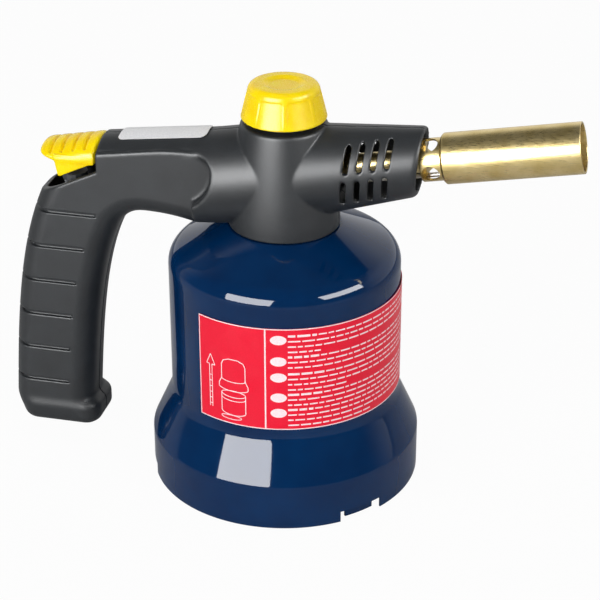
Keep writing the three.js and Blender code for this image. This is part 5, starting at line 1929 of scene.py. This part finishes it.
@dataclass
class Burner:
    """The brass burner tube, its collar with air holes, the gas tube and the flame holder."""

    tube_radius: float = 10.1
    tube_wall: float = 0.8
    tube_start: float = 65.2
    tube_end: float = 119.7
    heel: float = 5.0
    heel_wall: float = 1.3
    collar_radius: float = 8.5
    collar_wall: float = 0.8
    collar_start: float = 56.6
    collar_back: float = 2.0
    hole_radius: float = 3.65
    hole_place: float = 60.6
    hole_turn: float = 67.0
    gas_radius: float = 4.8
    holder_place: float = 92.0
    holder_depth: float = 2.0
    holder_hub: float = 4.0
    port_ring: float = 6.4
    port_radius: float = 1.15
    port_count: int = 8
    gas_bore: float = 1.5
    spigot: float = 3.0
    spigot_start: float = 12.3
    gas_start: float = 17.3
    spigot_end: float = 59.9
    collar_bore: float = 3.3

    def _turned(
        self, name: str, corners: Sequence[tuple[float, ...]], node: str, finish: Finish, steps: int = 128
    ) -> Piece:
        """Turns one piece along the burner's axis and stands it for its node."""
        piece = turned(name, softened(corners, 4), steps, along_burner())
        finish.dress(piece)
        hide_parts(node)
        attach(piece, "lamp")
        return piece

    def _drill(self, radius: float, low: float, high: float, steps: int, turn: Matrix) -> Piece:
        """Makes a plain drill between two heights."""
        return turned("drill", [(0.0, low), (radius, low), (radius, high), (0.0, high)], steps, turn)

    def build(self, brass: Finish, steel: Finish) -> None:
        """Makes the burner's pieces."""
        mouth, snug = self.tube_radius - self.tube_wall, self.collar_radius + 0.3
        step = self.tube_start + self.heel
        self._turned("drawn_burner_tube", [
            (snug, self.tube_start, 0.1), (self.tube_radius - 0.9, self.tube_start, 0.1),
            (self.tube_radius, self.tube_start + 0.9, 0.5), (self.tube_radius, self.tube_end, 0.25),
            (mouth, self.tube_end, 0.25), (mouth, step + self.heel_wall, 0.3), (snug, step, 0.2),
        ], "burner_tube", brass, 192)
        bore, back = self.collar_radius - self.collar_wall, self.collar_start + self.collar_back
        collar = self._turned("drilled_collar", [
            (self.collar_bore, self.collar_start), (self.collar_radius, self.collar_start, 0.5),
            (self.collar_radius, step, 0.2), (bore, step, 0.2), (bore, back, 0.5),
            (self.collar_bore, back),
        ], "burner_collar", brass)
        drills = []
        for n in range(4):
            turn = (
                along_burner()
                @ Matrix.Translation((0, 0, self.hole_place))
                @ Matrix.Rotation(-math.radians(self.hole_turn + 90 * n), 4, "Z")
                @ Matrix.Rotation(math.pi / 2, 4, "X")
            )
            drills.append(self._drill(self.hole_radius, self.gas_radius, self.collar_radius + 7.0, 48, turn))
        carve(collar, drills)
        brass.dress(collar)
        end = self.collar_start - 0.3
        self._turned("turned_gas_tube", [
            (self.gas_bore, self.spigot_start), (self.spigot, self.spigot_start, 0.3),
            (self.spigot, self.gas_start), (self.gas_radius, self.gas_start, 0.5),
            (self.gas_radius, end, 0.4), (self.spigot, end),
            (self.spigot, self.spigot_end, 0.3), (self.gas_bore, self.spigot_end),
        ], "gas_tube", brass, 64)
        rim, low, high = mouth - 0.3, self.holder_place, self.holder_place + self.holder_depth
        holder = self._turned("drilled_flame_holder", [
            (self.holder_hub, low, 0.2), (rim, low, 0.3), (rim, high, 0.3), (self.holder_hub, high, 0.2),
        ], "flame_holder", steel, 96)
        drills = []
        for n in range(self.port_count):
            turn = Matrix.Rotation(2 * math.pi / self.port_count * n, 4, "Z")
            turn = along_burner() @ turn @ Matrix.Translation((self.port_ring, 0, 0))
            drills.append(self._drill(self.port_radius, low - 3.0, high + 3.0, 24, turn))
        carve(holder, drills)
        steel.dress(holder)


@dataclass
class ReturnSpring:
    """The coiled spring between igniter and trigger, which shortens as the trigger goes down."""

    wire: float = 0.35
    turns: int = 3
    steps: int = 36
    sides: int = 10
    pressed_share: float = 0.48

    def build(self, finish: Finish) -> None:
        """Winds the wire in its node's place."""
        low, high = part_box("trigger_spring")
        start, end = low / MM - Vector(HEAD), high / MM - Vector(HEAD)
        mean = (end.y - start.y) / 2 - self.wire
        count, up = self.turns * self.steps, Vector((0.0, 0.0, 1.0))
        points: list[Vector] = []
        for n in range(count + 1):
            angle = 2 * math.pi * n / self.steps
            out = Vector((math.cos(angle), math.sin(angle), 0.0))
            height = start.z + self.wire + (end.z - start.z - 2 * self.wire) * n / count
            centre = Vector(((start.x + end.x) / 2, (start.y + end.y) / 2, height)) + out * mean
            for k in range(self.sides):
                turn = 2 * math.pi * k / self.sides
                points.append(centre + (out * math.cos(turn) + up * math.sin(turn)) * self.wire)
        faces = [
            (n * self.sides + k, n * self.sides + (k + 1) % self.sides,
             (n + 1) * self.sides + (k + 1) % self.sides, (n + 1) * self.sides + k)
            for n in range(count) for k in range(self.sides)
        ]
        faces.append(tuple(range(self.sides))[::-1])
        faces.append(tuple(count * self.sides + k for k in range(self.sides)))
        spring = new_piece("coiled_spring", points, [face[::-1] for face in faces], crease=50.0)
        finish.dress(spring)
        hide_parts("trigger_spring")
        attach(spring, "lamp")
        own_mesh(spring)


def dress_frame() -> None:
    """Gives every CAD node that still shows its finish."""
    finishes: dict[str, Finish] = {
        # the piezo plunger wears the black housing finish so that the gap under the trigger shows dark:
        # painted shade
        "gas_cartridge": LacqueredTin(), "piezo_body": MouldedHousing(), "piezo_plunger": MouldedHousing(),
        "ignition_wire": BlackLead(), "earth_wire": GreenLead(),
        "valve_body": DrawnBrass(), "retaining_nut": PlatedSteel(), "piercing_needle": PlatedSteel(),
        "cartridge_seal": NitrileRubber(), "valve_needle": PlatedSteel(), "spindle": PlatedSteel(),
        "gland_seal": NitrileRubber(), "gland_nut": DrawnBrass(), "jet": DrawnBrass(),
        "electrode": PlatedSteel(), "electrode_sleeve": GlazedCeramic(),
    }
    crease = 40.0
    for name, finish in finishes.items():
        finish.dress(frame["nodes"][name])
        smooth(frame["nodes"][name], crease)


def main() -> None:
    """Builds the blow lamp and its studio."""
    logging.basicConfig(level=logging.INFO, format="%(name)s: %(message)s")
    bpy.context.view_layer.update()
    Studio().build()
    body = Body()
    body.build(MouldedNylon())
    Screws().build(body.screw_places(), PlatedSteel())
    SpineSticker().build(body, SilverFilm())
    Bell().build(StoveEnamel())
    BellLabel().build(PrintedFilm(), WhiteInk())
    Cup().build(PlatedSteel())
    Knob().build(GlossyAbs())
    Trigger().build(GlossyAbs())
    ReturnSpring().build(PlatedSteel())
    Burner().build(DrawnBrass(), PlatedSteel())
    dress_frame()


if __name__ == "__main__":
    main()
